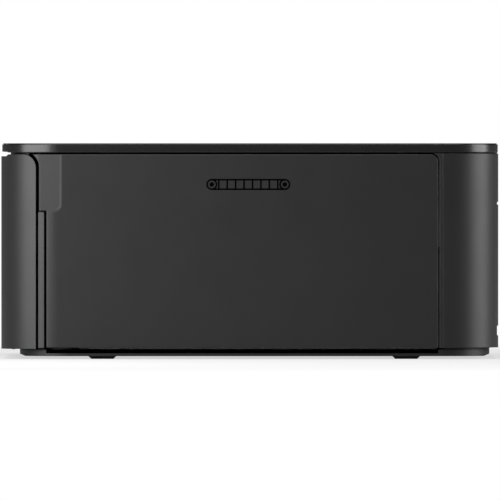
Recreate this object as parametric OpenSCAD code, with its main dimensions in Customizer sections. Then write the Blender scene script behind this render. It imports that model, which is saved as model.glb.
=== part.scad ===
// Compact photo printer, millimetres. +Z is up, the front cover faces -Y and the ink door is on the +X side.
// The origin is on the table, under the middle of the body.

/* [Body] */
// Corner radius of the body in plan
corner_r = 15; // [14:0.5:16]
// Wall of the moulded outer panels
panel_t = 2.2; // [2:0.1:2.4]
// Seam between two outer panels
seam = 0.6; // [0.5:0.05:0.7]
// Clearance between pieces that move past each other
clearance = 0.3; // [0.25:0.05:0.35]

/* [Base] */
// Height of the feet
foot_h = 0.75; // [0.5:0.05:2]
// Length of a foot along the side
foot_l = 7.5; // [6:0.5:10]
// Width of a foot
foot_w = 12; // [8:0.5:16]
// Distance of the front feet from the front of the body
foot_front = 27.1; // [25:0.1:34]
// Distance of the rear feet from the rear of the body
foot_rear = 24.7; // [24:0.1:30]
// Thickness of the base floor
base_t = 1.75; // [1.6:0.05:2.4]
// Gap between the base and the panels above it
base_gap = 0.5; // [0.4:0.05:0.8]
// How far the base is set back at the front
base_front_inset = 5; // [4.9:0.1:6]
// How far the base is set back at the rear
base_rear_inset = 2.4; // [2:0.1:3]
// How far the base is set in at each side
base_side_inset = 1.5; // [1:0.1:2]
// Height of the bevel under the base's front and rear edges
base_bevel_h = 0.6; // [0.3:0.1:0.8]
// Depth of that bevel
base_bevel_d = 1.5; // [1:0.1:2]
// Depth of the shadow slot in the base under the door, from the side of the body
door_slot_d = 3.6; // [3:0.1:3.6]
// Height of the base's rim below that slot
door_rim_h = 0.75; // [0.6:0.05:1]
// Radius of a case post
post_r = 4.2; // [4:0.1:4.3]
// Height where the base posts meet the lid posts
post_split_z = 30; // [26:0.5:34]

/* [Lid] */
// Thickness of the lid plate
lid_t = 2.45; // [2:0.05:3]
// Shadow gap under the lid
lid_gap = 0.5; // [0.4:0.05:0.8]
// How far the lid is set back from the front and sides
lid_setback = 0.25; // [0:0.05:0.5]
// Height and depth of the finger room under the lid's front edge
lid_relief = 0.2; // [0.1:0.05:0.3]
lid_relief_d = 1.8; // [1.5:0.1:1.9]
// Depth of the skirt under the lid
skirt_h = 2.5; // [2:0.1:3]

/* [Front cover] */
// How far the cover's wings reach back
wing_d = 9.4; // [9:0.1:10]
// Corner radius at the top rear of a wing
wing_r = 3.6; // [2:0.1:5]
// Height of the finger notch under the lid
notch_h = 1; // [0.9:0.1:2]
// Depth of the finger notch
notch_d = 2.4; // [1.8:0.1:2.5]
// Height of the cover's hinge axis
cover_axis_z = 4; // [3.9:0.05:4.1]
// Distance of the cover's hinge axis from the front
cover_axis_in = 3.2; // [3.1:0.05:3.3]
// Radius of the cover's hinge pins
cover_pin_r = 0.75; // [0.6:0.05:0.9]
// Distance of the cover hinges from the middle
cover_hinge_x = 60; // [50:1:68]

/* [Front frame] */
// Thickness of the front frame
frame_t = 1.6; // [1.4:0.1:2]
// Height of the strip of the frame that shows beside the door
strip_z1 = 39.2; // [36:0.1:42]

/* [Ink door] */
// Depth of the fixed rear corner behind the door
rear_corner_d = 15.6; // [15:0.1:17]
// Corner radius at the top rear of the door
door_r = 2.1; // [1:0.1:3]
// Length of the finger recess along the side
recess_l = 6; // [5:0.1:8]
// Depth of the finger recess at its front edge
recess_depth = 1; // [0.6:0.1:1.3]
// Extra gap in front of the door's finger recess
tab_setback = 0.25; // [0.1:0.05:0.4]
// Distance of the door's hinge axis from the outer face
door_axis_in = 2.8; // [2.7:0.1:2.9]
// Distance of the door's hinge axis from its rear edge
door_axis_back = 6; // [5.9:0.1:6.4]
// Radius of the door's knuckles
knuckle_r = 1.5; // [1.4:0.1:1.6]
// Radius of the door's hinge pins
door_pin_r = 0.8; // [0.7:0.05:0.9]

/* [Screen] */
// Width of the tilting screen
screen_w = 88; // [80:1:92]
// Depth of the tilting screen
screen_d = 64; // [58:1:68]
// Thickness of the tilting screen
screen_t = 6.4; // [6:0.1:7]
// Distance of the middle of the screen from the left side
screen_side = 55.1; // [53:0.1:57]
// Distance of the screen's rear edge from the rear of the body
screen_back = 40.5; // [38:0.5:44]
// Width of the glass
glass_w = 78; // [70:1:82]
// Depth of the glass
glass_d = 50; // [46:1:52]
// Floor of the well under the screen
well_t = 1; // [0.8:0.1:1.2]
// Radius of the screen's hinge pins
screen_pin_r = 1; // [0.8:0.1:1.2]

/* [Buttons] */
// Radius of the round buttons
button_r = 4.2; // [3.5:0.1:5]
// Travel of a button
button_travel = 0.5; // [0.3:0.05:0.6]
// Outer radius of the direction pad
pad_r = 13; // [12:0.5:14]
// Radius of the print button in the middle of the pad
print_r = 5.5; // [5:0.1:6]
// Wall of the lid's collar round the print button
collar_t = 0.8; // [0.6:0.1:1]
// Thickness of the lid under the direction pad
pad_floor_t = 0.9; // [0.8:0.05:1]
// Radius of the pad's legs
pad_leg_r = 1.3; // [1:0.1:1.5]
// Distance of the pad's middle from the right side
pad_side = 41.1; // [40:0.1:42]
// Distance of the pad's middle from the front
pad_front = 54.5; // [52:0.5:56]
// Distance between two keys of the row
key_pitch = 16; // [14:0.5:16]
// Distance of the row behind the pad's middle
key_row = 30; // [26:0.5:32]
// Distance of the power button behind the row
power_back = 22; // [18:0.5:24]
// Distance of the power button to the right of the pad's middle
power_right = 22; // [18:0.5:22]
// Thickness of the control board
board_t = 1.2; // [1:0.1:1.6]

/* [Chassis] */
// Thickness of the chassis plates
plate_t = 1.5; // [1.2:0.1:1.6]
// Room between the left plate and the left side of the body, for motors, gears, fan and main board
motor_space = 53.1; // [52.6:0.1:60]
// Distance of the right plate's outer face from the side of the body
side_space = 11.1; // [11:0.1:11.6]
// Width of the paper
paper_w = 100; // [96:1:101]
// Height of the paper plane
paper_z = 28; // [27.5:0.1:28.2]
// Room beside the paper in its bay
bay_play = 2.5; // [2:0.1:3.5]
// Room between the inside of the bay and each chassis plate
bay_space = 5; // [4:0.1:6]
// Drop from the paper plane to the top of the bay
bay_drop = 4.5; // [4:0.1:6]
// Wall of the paper bay
bay_t = 1.2; // [1:0.1:1.5]

/* [Paper drive] */
// Gear module
gear_m = 0.8; // [0.78:0.01:0.8]
// Width of the gears
gear_t = 3.7; // [3:0.1:3.7]
// Radius of the roller shafts
shaft_r = 2; // [1.8:0.1:2.2]
// Running clearance of shafts in their bushes
run_fit = 0.05; // [0.03:0.01:0.09]
// Radius of the platen roller
platen_r = 6; // [5.5:0.1:6.2]
// Radius of the feed roller
feed_r = 5; // [4.6:0.1:5.2]
// Distance of the feed roller from the rear of the body
feed_back = 21.5; // [21:0.1:24]
// Distance from the take-up spool to the feed roller
take_to_feed = 17; // [16.8:0.1:19]
// Radius of the pinch roller
pinch_r = 3.5; // [3:0.1:3.8]
// Gap for the paper between two rollers
nip_gap = 0.4; // [0.3:0.05:0.5]
// Radius of the pickup roller
pickup_r = 5.6; // [5:0.1:6]
// Width of the pickup roller
pickup_w = 40; // [24:1:60]
// Radius of the feed motor
motor_r = 13; // [11:0.5:13.5]
// Length of the feed motor
motor_l = 14; // [12:0.5:15]
// Radius of the ribbon motor
ribbon_motor_r = 8; // [7:0.5:9]
// Length of the ribbon motor
ribbon_motor_l = 12; // [10:0.5:15]

/* [Ink cassette] */
// Height of the spools' axes above the paper plane
spool_rise = 9; // [8.8:0.1:9.2]
// Room above the supply tube to the top of the chassis
spool_headroom = 2.1; // [2:0.1:3]
// Distance of the supply spool from the front of the body
supply_front = 34.5; // [34:0.1:36]
// Distance from the supply spool to the platen
supply_to_platen = 32; // [31.8:0.1:34]
// Distance from the platen to the take-up spool
platen_to_take = 28; // [27.8:0.1:30]
// Outer radius of the supply tube
supply_r = 10.5; // [10.2:0.1:10.6]
// Outer radius of the take-up tube
take_r = 9.5; // [9.2:0.1:9.6]
// Wall of the cassette tubes
tube_t = 1.2; // [1:0.1:1.3]
// Thickness of the cassette's outer end
grip_t = 3.4; // [3:0.1:3.4]

/* [Print head] */
// Distance of the head's pivot in front of the platen
head_pivot_y = 12; // [11.5:0.1:12.5]
// Height of the head's pivot above the paper plane
head_rise = 16.5; // [16:0.1:16.8]
// Radius of the head's pivot shaft
head_shaft_r = 1.5; // [1.3:0.1:1.7]
// Thickness of the head's arms
arm_t = 1.5; // [1.2:0.1:1.8]

/* [Fan] */
// Side of the square fan frame
fan_w = 30; // [26:1:30]
// Thickness of the fan
fan_t = 8; // [7:0.5:9]
// Bottom of the fan
fan_z0 = 12; // [11:0.5:14]

/* [Rear] */
// Drop from the paper plane to the lower edge of the rear panel
rear_below = 6; // [5:0.1:7]
// Rise from the paper plane to the upper edge of the rear panel
rear_above = 13.3; // [12:0.1:14]
// Distance of the rear panel from each side of the body
rear_side = 16.1; // [15.8:0.1:20]
// Height of the paper exit
exit_h = 6; // [5.4:0.1:7]

/* [Hidden] */
$fn = 64;

far = 400;                                   // longer than anything that it cuts
sliver = 0.01;                               // keeps a cut clear of the face that it opens
// The outer size follows from what the body holds: across, along and up
bay_w = paper_w + 2 * bay_play;
chassis_w = bay_w + 2 * bay_space;
body_w = motor_space + plate_t + chassis_w + plate_t + side_space;
body_d = supply_front + supply_to_platen + platen_to_take + take_to_feed + feed_back;
spool_z = paper_z + spool_rise;
chassis_z1 = spool_z + supply_r + spool_headroom;
well_z1 = chassis_z1 + clearance + well_t;
body_h = well_z1 + clearance + screen_t;
x_side = body_w / 2;
y_front = -body_d / 2;
y_rear = body_d / 2;
base_z1 = foot_h + base_t;
panel_z0 = base_z1 + base_gap;
lid_z0 = body_h - lid_t;
panel_z1 = lid_z0 - lid_gap;
skirt_in = panel_t + clearance;
skirt_t = 1.5;
skirt_z0 = lid_z0 - skirt_h;

// Front cover, frame and door, from front to rear
wing_y = y_front + wing_d;
frame_y0 = wing_y + seam;
frame_y1 = frame_y0 + frame_t;
door_y0 = frame_y1 + seam;
corner_y = y_rear - rear_corner_d;
door_y1 = corner_y - seam;
door_x0 = x_side - panel_t;
cover_z0 = base_z1 + 0.15;
cover_y = y_front + cover_axis_in;
lug_r = 1.6;                                 // cover hinge lugs
lug_w = 4;
cover_bracket_w = 8;
cover_hinge_w = cover_bracket_w / 2 + lug_w + 0.2;
recess_z = strip_z1 + clearance;
door_axis_x = x_side - door_axis_in;
door_axis_y = door_y1 - door_axis_back;
knuckle_h = 4;
lip_w = 0.8;                                 // lip on the rear corner beside the door
lip_h = 0.2;
shell_z1 = lid_z0 - clearance;               // top of the fixed outer shell
ridge_in = 0.3;                              // ridge under the lid's rear edge
bracket_h = 5;
hinge_low = 8;                               // from the door's lower edge to the middle of its lower hinge
hinge_high = 10.65;                          // from its upper edge to the middle of the upper one
knuckle_zs = [panel_z0 + hinge_low, panel_z1 - hinge_high];

// Case posts in the four corners
front_post = [x_side - 8.1, frame_y1 + post_r + 0.3];
rear_post = [x_side - 8.6, y_rear - 12];
post_places = [for (sx = [-1, 1], p = [front_post, rear_post]) [sx * p[0], p[1]]];

// Chassis
plate_rx1 = x_side - side_space;
plate_rx0 = plate_rx1 - plate_t;
plate_lx1 = plate_rx0 - chassis_w;
plate_lx0 = plate_lx1 - plate_t;
paper_x = (plate_lx1 + plate_rx0) / 2;
bay_z1 = paper_z - bay_drop;
chassis_y0 = frame_y1 + 2 * post_r + 0.8;
plate_l_y1 = y_rear - panel_t - 6;
plate_r_y1 = rear_post[1] - post_r - clearance;
bush_r = shaft_r + 1.5;
bush_flange = 0.6;
bush_lip = 0.4;
tie_r = 2;
tie_edge = 4.1;                              // from a tie bar's axis to the edge of the plates
tie_places = [[chassis_y0 + 3.5, bay_z1 + tie_r + 0.4], [plate_r_y1 - 3, base_z1 + 9.5],
    [plate_r_y1 - 3, chassis_z1 - tie_edge]];

// Paper drive: axes as [y, z], gears in two layers left of the left plate
layer_a = [plate_lx0 - 2.3 - gear_t, plate_lx0 - 2.3];
layer_b = [layer_a[0] - 1.3 - gear_t, layer_a[0] - 1.3];
bracket_x1 = layer_b[0] - 1.5;
bracket_t = 1.5;
motor_face = bracket_x1 - bracket_t;
feed_teeth = 24;
idler_teeth = 25;
pickup_teeth = 24;
small_teeth = 14;
big_teeth = 26;
pinion_teeth = 12;
ribbon_teeth = 16;
ribbon_pinion_teeth = 10;
idler_angle = 180;                           // from the feed gear to each next gear of the train
pickup_angle = 190;
reduction_angle = 75;
motor_angle = -100;
ribbon_angle = -160;
supply_at = [y_front + supply_front, spool_z];
platen_at = [supply_at[0] + supply_to_platen, paper_z - platen_r];
take_at = [platen_at[0] + platen_to_take, spool_z];
feed_at = [y_rear - feed_back, paper_z - feed_r];
idler_rear_at = step_to(feed_at, feed_teeth, idler_teeth, idler_angle);
idler_front_at = step_to(idler_rear_at, idler_teeth, idler_teeth, idler_angle);
pickup_at = step_to(idler_front_at, idler_teeth, pickup_teeth, pickup_angle);
reduction_at = step_to(feed_at, feed_teeth, small_teeth, reduction_angle);
motor_at = step_to(reduction_at, big_teeth, pinion_teeth, motor_angle);
pinch_at = [feed_at[0], paper_z + nip_gap + pinch_r];
ribbon_motor_at = step_to(take_at, ribbon_teeth, ribbon_pinion_teeth, ribbon_angle);
head_at = [platen_at[0] - head_pivot_y, paper_z + head_rise];
bay_y1 = pickup_at[0] + pickup_r + clearance;
idler_rear_phase = mesh_phase(feed_teeth, 0, idler_angle, idler_teeth);
idler_front_phase = mesh_phase(idler_teeth, idler_rear_phase, idler_angle, idler_teeth);
pickup_phase = mesh_phase(idler_teeth, idler_front_phase, pickup_angle, pickup_teeth);
reduction_phase = mesh_phase(feed_teeth, 0, reduction_angle, small_teeth);
pinion_phase = mesh_phase(big_teeth, reduction_phase, motor_angle, pinion_teeth);
ribbon_pinion_phase = mesh_phase(ribbon_teeth, 0, ribbon_angle, ribbon_pinion_teeth);

post_collar_r = 1.5;
motor_boss_r = 3.5;                          // round boss that centres a motor in its bracket
ribbon_boss_r = 2.5;

// Cassette
grip_x0 = plate_rx1 + 0.6;
grip_x1 = grip_x0 + grip_t;
cassette_x0 = plate_lx1 + 0.6;
film_z = paper_z + clearance;
film_t = 0.2;
film_x = [paper_x - paper_w / 2 + 2, paper_x + paper_w / 2 - 2];
band_z = [paper_z - 0.6, paper_z + 3.2];      // slot in the right plate between the two tubes
rail_z = [paper_z + 0.7, paper_z + 2.9];
collar_l = 4;
journal_r = 3;
dog_r = 1.6;

// Lid
screen_mid = screen_side - x_side;
screen_rear = y_rear - screen_back;
screen_x = [screen_mid - screen_w / 2, screen_mid + screen_w / 2];
screen_y = [screen_rear - screen_d, screen_rear];
screen_z0 = body_h - screen_t;
hinge_r = screen_t / 2;
hinge_at = [screen_rear - hinge_r, body_h - hinge_r];
well_gap = 0.4;
glass_t = 0.8;
glass_y = [screen_y[0] + 4, screen_y[0] + 4 + glass_d];
glass_x = [screen_mid - glass_w / 2, screen_mid + glass_w / 2];
lcd_depth = 4.4;                             // from the top of the screen to the underside of its display
button_z0 = lid_z0 - 1.75;
button_z1 = body_h - 0.15;
flange_z = [lid_z0 - 0.95, lid_z0 - clearance];
flange_w = 0.8;
button_gap = 0.25;
switch_h = 1.2;
board_z1 = button_z0 - button_travel - 0.1 - switch_h;
board_z0 = board_z1 - board_t;
pad_at = [x_side - pad_side, y_front + pad_front];
back_at = pad_at + [-1.5 * key_pitch, key_row];
menu_at = pad_at + [-0.5 * key_pitch, key_row];
zoom_out_at = pad_at + [0.5 * key_pitch, key_row];
zoom_in_at = pad_at + [1.5 * key_pitch, key_row];
power_at = pad_at + [power_right, key_row + power_back];
collar_r = print_r + button_gap + collar_t;
pad_gap_r = collar_r + button_gap;
pad_floor_z = lid_z0 + pad_floor_t;
pad_z0 = pad_floor_z + button_travel + 0.1;
pad_legs = [for (a = [0:90:270]) pad_at + (pad_r + pad_gap_r) / 2 * [cos(a), sin(a)]];
board_x = [screen_x[1] + well_gap + well_t + 2 * clearance, x_side - 9.1];
board_y = [pad_at[1] - 20, power_at[1] + 7];
boss_in = 3;                                 // from a boss to the edges of the control board
boss_places = [[board_x[0] + boss_in, board_y[0] + boss_in], [board_x[1] - 7, board_y[0] + boss_in],
    [board_x[0] + boss_in, board_y[1] - boss_in], [power_at[0] - 12, board_y[1] - boss_in]];

// Posts' screws and the rear wall
lid_post_r = 3.6;
screw_r = 1.5;
screw_head_r = 2.5;
post_step_z = 20;
rear_z0 = paper_z - rear_below;
rear_z1 = paper_z + rear_above;
rear_w = body_w - 2 * rear_side;
exit_z = [paper_z - 0.6, paper_z - 0.6 + exit_h];
exit_x = [paper_x - paper_w / 2 - 3, paper_x + paper_w / 2 + 3];
rear_flange = 1.2;

// Left compartment
main_x = [-x_side + panel_t + 2.9, motor_face - 2.5];
main_z0 = base_z1 + 2.5;
main_z1 = main_z0 + 1.6;
main_y = [chassis_y0 + 1.5, y_rear - 18.5];
tongue_x = [main_x[0] + 9, main_x[1]];
tongue_y1 = y_rear - panel_t - 2.3;
standoffs = [[main_x[0] + 5, main_y[0] + 5], [main_x[1] - 5, main_y[0] + 5],
    [main_x[0] + 5, main_y[1] - 5], [main_x[1] - 5, main_y[1] - 20]];
standoff_r = 2.5;
wall_x = -x_side + panel_t;                  // inner face of the left wall
card_y = [main_y[0] + 1, main_y[0] + 25.5];
card_z = [15, 18.6];
usb_a_y = [card_y[0] + 6, card_y[0] + 19.2];
usb_a_z1 = main_z1 + 6.4;
usb_c_y = [card_y[1] + 5, card_y[1] + 14];
usb_c_z1 = main_z1 + 3.3;
fan_at = [platen_at[0] + 3, fan_z0 + fan_w / 2];
fan_r = fan_w / 2 - 1.4;
fan_axle_r = 1;
jack_x = [tongue_x[0] + 1, tongue_x[0] + 11];
jack_z1 = main_z1 + 11;
jack_at = [(jack_x[0] + jack_x[1]) / 2, main_z1 + 5.5];
jack_r = 4;

// Centre of the next gear at an angle from one gear's centre
function step_to(from, n1, n2, angle) = from + gear_m * (n1 + n2) / 2 * [cos(angle), sin(angle)];
// Turn that puts a gap of the second gear on a tooth of the first
function mesh_phase(n1, phase1, angle, n2) = angle + 180 + (n1 * (angle - phase1) - 180) / n2;

// A box from its limits along X, Y and Z
module block(x, y, z) {
    translate([x[0], y[0], z[0]]) cube([x[1] - x[0], y[1] - y[0], z[1] - z[0]]);
}

// A rod along X at [y, z]
module rod(x, at, r) {
    translate([x[0], at[0], at[1]]) rotate([90, 0, 90]) cylinder(r = r, h = x[1] - x[0]);
}

// A round post along Z at [x, y]
module post(at, z, r) {
    translate([at[0], at[1], z[0]]) cylinder(r = r, h = z[1] - z[0]);
}

// Rounded rectangle with its own inset on the front, rear and sides
module outline(front, rear, side, r) {
    x1 = x_side - side;
    y0 = y_front + front;
    y1 = y_rear - rear;
    translate([-x1, y0 + r]) square([2 * x1, y1 - y0 - 2 * r]);
    translate([-x1 + r, y0]) square([2 * x1 - 2 * r, y1 - y0]);
    for (sx = [-1, 1], y = [y0 + r, y1 - r]) translate([sx * (x1 - r), y]) circle(r = r);
}

// The body's plan outline, moved inwards
module inset(d) {
    outline(d, d, d, corner_r - d);
}

// Upright wall that follows the body's plan
module wall(d0, d1, z) {
    translate([0, 0, z[0]]) linear_extrude(z[1] - z[0]) difference() {
        inset(d0);
        inset(d1);
    }
}

// Side view of a panel, [y, z], with one rounded corner at the top rear, extruded along X
module side_shape(y, z, r, x) {
    translate([x[0], 0, 0]) rotate([90, 0, 90]) linear_extrude(x[1] - x[0]) {
        translate([y[0], z[0]]) square([y[1] - y[0], z[1] - z[0] - r]);
        translate([y[0], z[0]]) square([y[1] - y[0] - r, z[1] - z[0]]);
        translate([y[1] - r, z[1] - r]) circle(r = r);
    }
}

// Flat gear, centred on Z, with straight-sided teeth
module gear_shape(teeth, phase) {
    pitch_r = gear_m * teeth / 2;
    root_r = pitch_r - 1.1 * gear_m;
    tip_r = pitch_r + 0.8 * gear_m;
    p = PI * gear_m;
    circle(r = root_r);
    for (i = [0:teeth - 1]) rotate(phase + i * 360 / teeth)
        polygon([[root_r * 0.9, -0.28 * p], [pitch_r, -0.2 * p], [tip_r, -0.09 * p],
            [tip_r, 0.09 * p], [pitch_r, 0.2 * p], [root_r * 0.9, 0.28 * p]]);
}

// Gear along X at [y, z], with a recessed web and a bore
module gear(x, at, teeth, phase, bore) {
    rim_r = gear_m * teeth / 2 - 2.2 * gear_m;
    hub_r = bore + 1.4;
    translate([x[0], at[0], at[1]]) rotate([90, 0, 90]) difference() {
        linear_extrude(x[1] - x[0]) gear_shape(teeth, phase);
        translate([0, 0, -sliver]) cylinder(r = bore, h = x[1] - x[0] + 2 * sliver);
        if (rim_r > hub_r + 1.5) translate([0, 0, -sliver]) difference() {
            cylinder(r = rim_r, h = (x[1] - x[0]) * 0.3);
            cylinder(r = hub_r, h = (x[1] - x[0]) * 0.3);
        }
    }
}

module base_tray() color("#262728") {
    difference() {
        union() {
            base_plate();
            difference() {
                wall(panel_t + 0.15, panel_t + 0.15 + skirt_t, [base_z1 - sliver, base_z1 + 5]);
                block([-far, far], [-far, frame_y1 + 0.2], [0, far]);
                block([0, far], [-far, corner_y + 1], [0, far]);
                block([jack_x[0] - 0.5, jack_x[1] + 0.5], [0, far], [0, far]);
                block([-far, wall_x + 3], [usb_a_y[0] - 0.5, usb_c_y[1] + 0.5], [0, far]);
            }
            for (p = post_places) post(p, [base_z1 - sliver, post_split_z], post_r);
            for (p = standoffs) post(p, [base_z1 - sliver, main_z0], standoff_r);
            for (sx = [-1, 1]) cover_bracket(sx * cover_hinge_x);
        }
        for (p = post_places) {
            post(p, [0, post_step_z], screw_head_r + 0.2);
            post(p, [0, far], screw_r + 0.1);
        }
        for (p = standoffs) post(p, [base_z1, far], 1);
        for (sx = [-1, 1]) rod([sx * cover_hinge_x - cover_hinge_w, sx * cover_hinge_x + cover_hinge_w],
            [cover_y, cover_axis_z], cover_pin_r);
    }
}

// Floor of the base, bevelled under its front and rear edges, with a slot under the door
module base_plate() {
    y0 = y_front + base_front_inset;
    y1 = y_rear - base_rear_inset;
    difference() {
        translate([0, 0, foot_h]) linear_extrude(base_t)
            outline(base_front_inset, base_rear_inset, base_side_inset, corner_r - base_rear_inset);
        translate([-far, 0, foot_h]) rotate([90, 0, 90]) linear_extrude(2 * far) {
            polygon([[y0 - 1, -1], [y0 + base_bevel_d, -1], [y0 + base_bevel_d, 0], [y0, base_bevel_h],
                [y0 - 1, base_bevel_h]]);
            polygon([[y1 + 1, -1], [y1 - base_bevel_d, -1], [y1 - base_bevel_d, 0], [y1, base_bevel_h],
                [y1 + 1, base_bevel_h]]);
        }
        block([x_side - door_slot_d, far], [door_y0, door_y1], [foot_h + door_rim_h, far]);
    }
}

// Ear on the base's front edge that holds a cover pin
module cover_bracket(x) {
    w = cover_bracket_w / 2;
    base_y = y_front + base_front_inset;
    rod([x - w, x + w], [cover_y, cover_axis_z], lug_r);
    block([x - w, x + w], [cover_y, base_y + 3], [cover_axis_z - lug_r + 0.5, cover_axis_z + lug_r]);
    block([x - w, x + w], [base_y, base_y + 3], [base_z1 - sliver, cover_axis_z]);
}

module rubber_feet() color("#1c1c1d")
    for (sx = [-1, 1], y = [y_front + foot_front, y_rear - foot_rear])
        translate([sx * (x_side - base_side_inset - 3 - foot_w / 2), y, 0]) rotate([90, 0, 90])
            translate([0, 0, -foot_w / 2]) linear_extrude(foot_w)
                polygon([[-foot_l / 2 + 0.8, 0], [foot_l / 2 - 0.8, 0], [foot_l / 2, foot_h], [-foot_l / 2, foot_h]]);

module outer_shell() color("#2b2c2d") difference() {
    union() {
        difference() {
            wall(0, panel_t, [panel_z0, shell_z1]);
            block([-far, far], [-far, frame_y1], [0, far]);
            block([0, far], [-far, corner_y], [0, far]);
        }
        // ridge that the lid's rear edge rests on
        intersection() {
            wall(ridge_in, panel_t, [panel_z1, lid_z0]);
            block([-far, far], [corner_y + 1, far], [0, far]);
        }
        rear_corner_lip();
    }
    // fine groove beside the lip
    block([x_side - 0.3, far], [corner_y + 0.3, corner_y + 0.6], [0, far]);
    // the door's rear edge swings past here
    block([door_x0 - 1, x_side - lip_w], [corner_y - 1, corner_y + 0.25], [0, far]);
    block([-rear_w / 2, rear_w / 2], [y_rear - panel_t - 1, far], [rear_z0, rear_z1]);
    // shallow channel low on the rear, and a line above the rear panel
    block([-far, far], [y_rear - 0.35, far], [6.1, 8.8]);
    block([-far, far], [y_rear - 0.35, far], [rear_z1 - 0.1, rear_z1 + 0.6]);
    translate([jack_at[0], y_rear - panel_t - 1, jack_at[1]]) rotate([-90, 0, 0]) cylinder(r = jack_r + 0.1, h = 9);
    block([-far, wall_x + 1], [usb_a_y[0] - 0.1, usb_a_y[1] + 0.1], [main_z1 - 0.1, usb_a_z1 + 0.1]);
    block([-far, wall_x + 1], [usb_c_y[0] - 0.1, usb_c_y[1] + 0.1], [main_z1 - 0.1, usb_c_z1 + 0.1]);
    block([-far, wall_x + 1], [card_y[0] - 0.1, card_y[1] + 0.1], [card_z[0] - 0.1, card_z[1] + 0.1]);
    for (i = [-3:3]) block([-far, wall_x + 1], [fan_at[0] + 3.6 * i - 0.9, fan_at[0] + 3.6 * i + 0.9],
        [fan_at[1] - fan_w / 3, fan_at[1] + fan_w / 3]);
}

// Narrow lip at the outside of the rear corner's front edge, which follows the door's rounded corner
module rear_corner_lip() {
    y = corner_y - lip_h;
    r = door_r + seam - lip_h;
    block([x_side - lip_w, x_side], [y, corner_y + 1], [panel_z0, shell_z1]);
    translate([x_side - lip_w, 0, 0]) rotate([90, 0, 90]) linear_extrude(lip_w) difference() {
        translate([y - r, panel_z1 - door_r]) square([r + 0.5, shell_z1 - panel_z1 + door_r]);
        translate([y - r, panel_z1 - door_r]) circle(r = r);
    }
}

module rear_panel() color("#2f3031") difference() {
    union() {
        intersection() {
            wall(0, panel_t, [rear_z0 + 0.2, rear_z1 - 0.2]);
            block([-rear_w / 2 + 0.2, rear_w / 2 - 0.2], [0, far], [0, far]);
        }
        block([-rear_w / 2 - 0.6, rear_w / 2 + 0.6], [y_rear - panel_t - rear_flange, y_rear - panel_t],
            [rear_z0 - 2.5, rear_z1 + 2.5]);
    }
    // seam all round the panel's face
    for (z = [[rear_z0 - 1, rear_z0 + 0.5], [rear_z1 - 0.5, rear_z1 + 1]])
        block([-far, far], [y_rear - 0.35, far], z);
    block(exit_x, [0, far], exit_z);
    for (i = [0:9]) block([-rear_w / 2 + 5 + 3.2 * i, -rear_w / 2 + 6.8 + 3.2 * i], [0, far],
        [rear_z0 + 4, rear_z1 - 4]);
}

module front_frame() color("#333435") difference() {
    union() {
        translate([0, 0, panel_z0 - 0.1]) linear_extrude(panel_z1 - panel_z0 + 0.1) intersection() {
            inset(0);
            translate([-far, frame_y0]) square([2 * far, frame_t]);
        }
        block([paper_x - bay_w / 2 - 6, paper_x + bay_w / 2 + 6], [frame_y0, frame_y1], [base_z1, panel_z0]);
    }
    // the door's tab comes past here
    block([x_side - panel_t - 1.6, far], [-far, far], [strip_z1, far]);
    wall(skirt_in - clearance, skirt_in + skirt_t + clearance, [skirt_z0 - clearance, far]);
    block([paper_x - bay_w / 2, paper_x + bay_w / 2], [-far, far], [base_z1 + bay_t, bay_z1]);
}

module top_cover() color("#232425") difference() {
    union() {
        translate([0, 0, lid_z0]) linear_extrude(lid_t) outline(lid_setback, lid_setback / 2, lid_setback,
            corner_r - lid_setback);
        difference() {
            wall(skirt_in, skirt_in + skirt_t, [skirt_z0, lid_z0 + sliver]);
            block([0, far], [door_axis_y - 5, corner_y + 0.4], [0, far]);
        }
        for (p = post_places) post(p, [post_split_z, lid_z0 + sliver], lid_post_r);
        block([screen_x[0] - well_gap - well_t, screen_x[1] + well_gap + well_t],
            [screen_y[0] - well_gap - well_t, screen_y[1] + well_gap + well_t], [well_z1 - well_t, lid_z0 + sliver]);
        for (p = boss_places) post(p, [board_z1, lid_z0 + sliver], 2.2);
    }
    block([screen_x[0] - well_gap, screen_x[1] + well_gap], [screen_y[0] - well_gap, screen_y[1] + well_gap],
        [well_z1, far]);
    rod([screen_x[0] - 6, screen_x[1] + 6], hinge_at, screen_pin_r);
    for (p = post_places) post(p, [0, post_split_z + 8], screw_r - 0.05);
    for (p = boss_places) post(p, [0, board_z1 + 3], 0.8);
    for (p = [power_at, back_at, menu_at, zoom_out_at, zoom_in_at]) post(p, [0, far], button_r + button_gap);
    // the direction pad floats in a recess round the print button's collar
    difference() {
        post(pad_at, [pad_floor_z, far], pad_r + button_gap);
        post(pad_at, [0, button_z1], collar_r);
    }
    post(pad_at, [0, far], print_r + button_gap);
    for (p = pad_legs) post(p, [0, far], pad_leg_r + button_gap);
    // finger room under the lid's front edge
    block([-far, far], [-far, y_front + lid_relief_d], [0, lid_z0 + lid_relief]);
    // soft edge along the top of the lid
    lid_edge();
}

// Small chamfer round the lid's top edge
module lid_edge() {
    c = 0.3;
    translate([0, 0, body_h - c]) linear_extrude(c + 1) difference() {
        square([2 * far, 2 * far], center = true);
        outline(lid_setback + c, lid_setback / 2 + c, lid_setback + c, corner_r - lid_setback - c);
    }
}

module chassis_plate(x, y1) {
    block(x, [chassis_y0, y1], [base_z1, chassis_z1]);
}

// Holes that both chassis plates share
module shaft_holes(x) {
    for (at = [platen_at, feed_at, pickup_at, pinch_at]) rod(x, at, bush_r);
    for (at = tie_places) rod(x, at, tie_r);
    rod(x, head_at, head_shaft_r);
}

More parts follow.
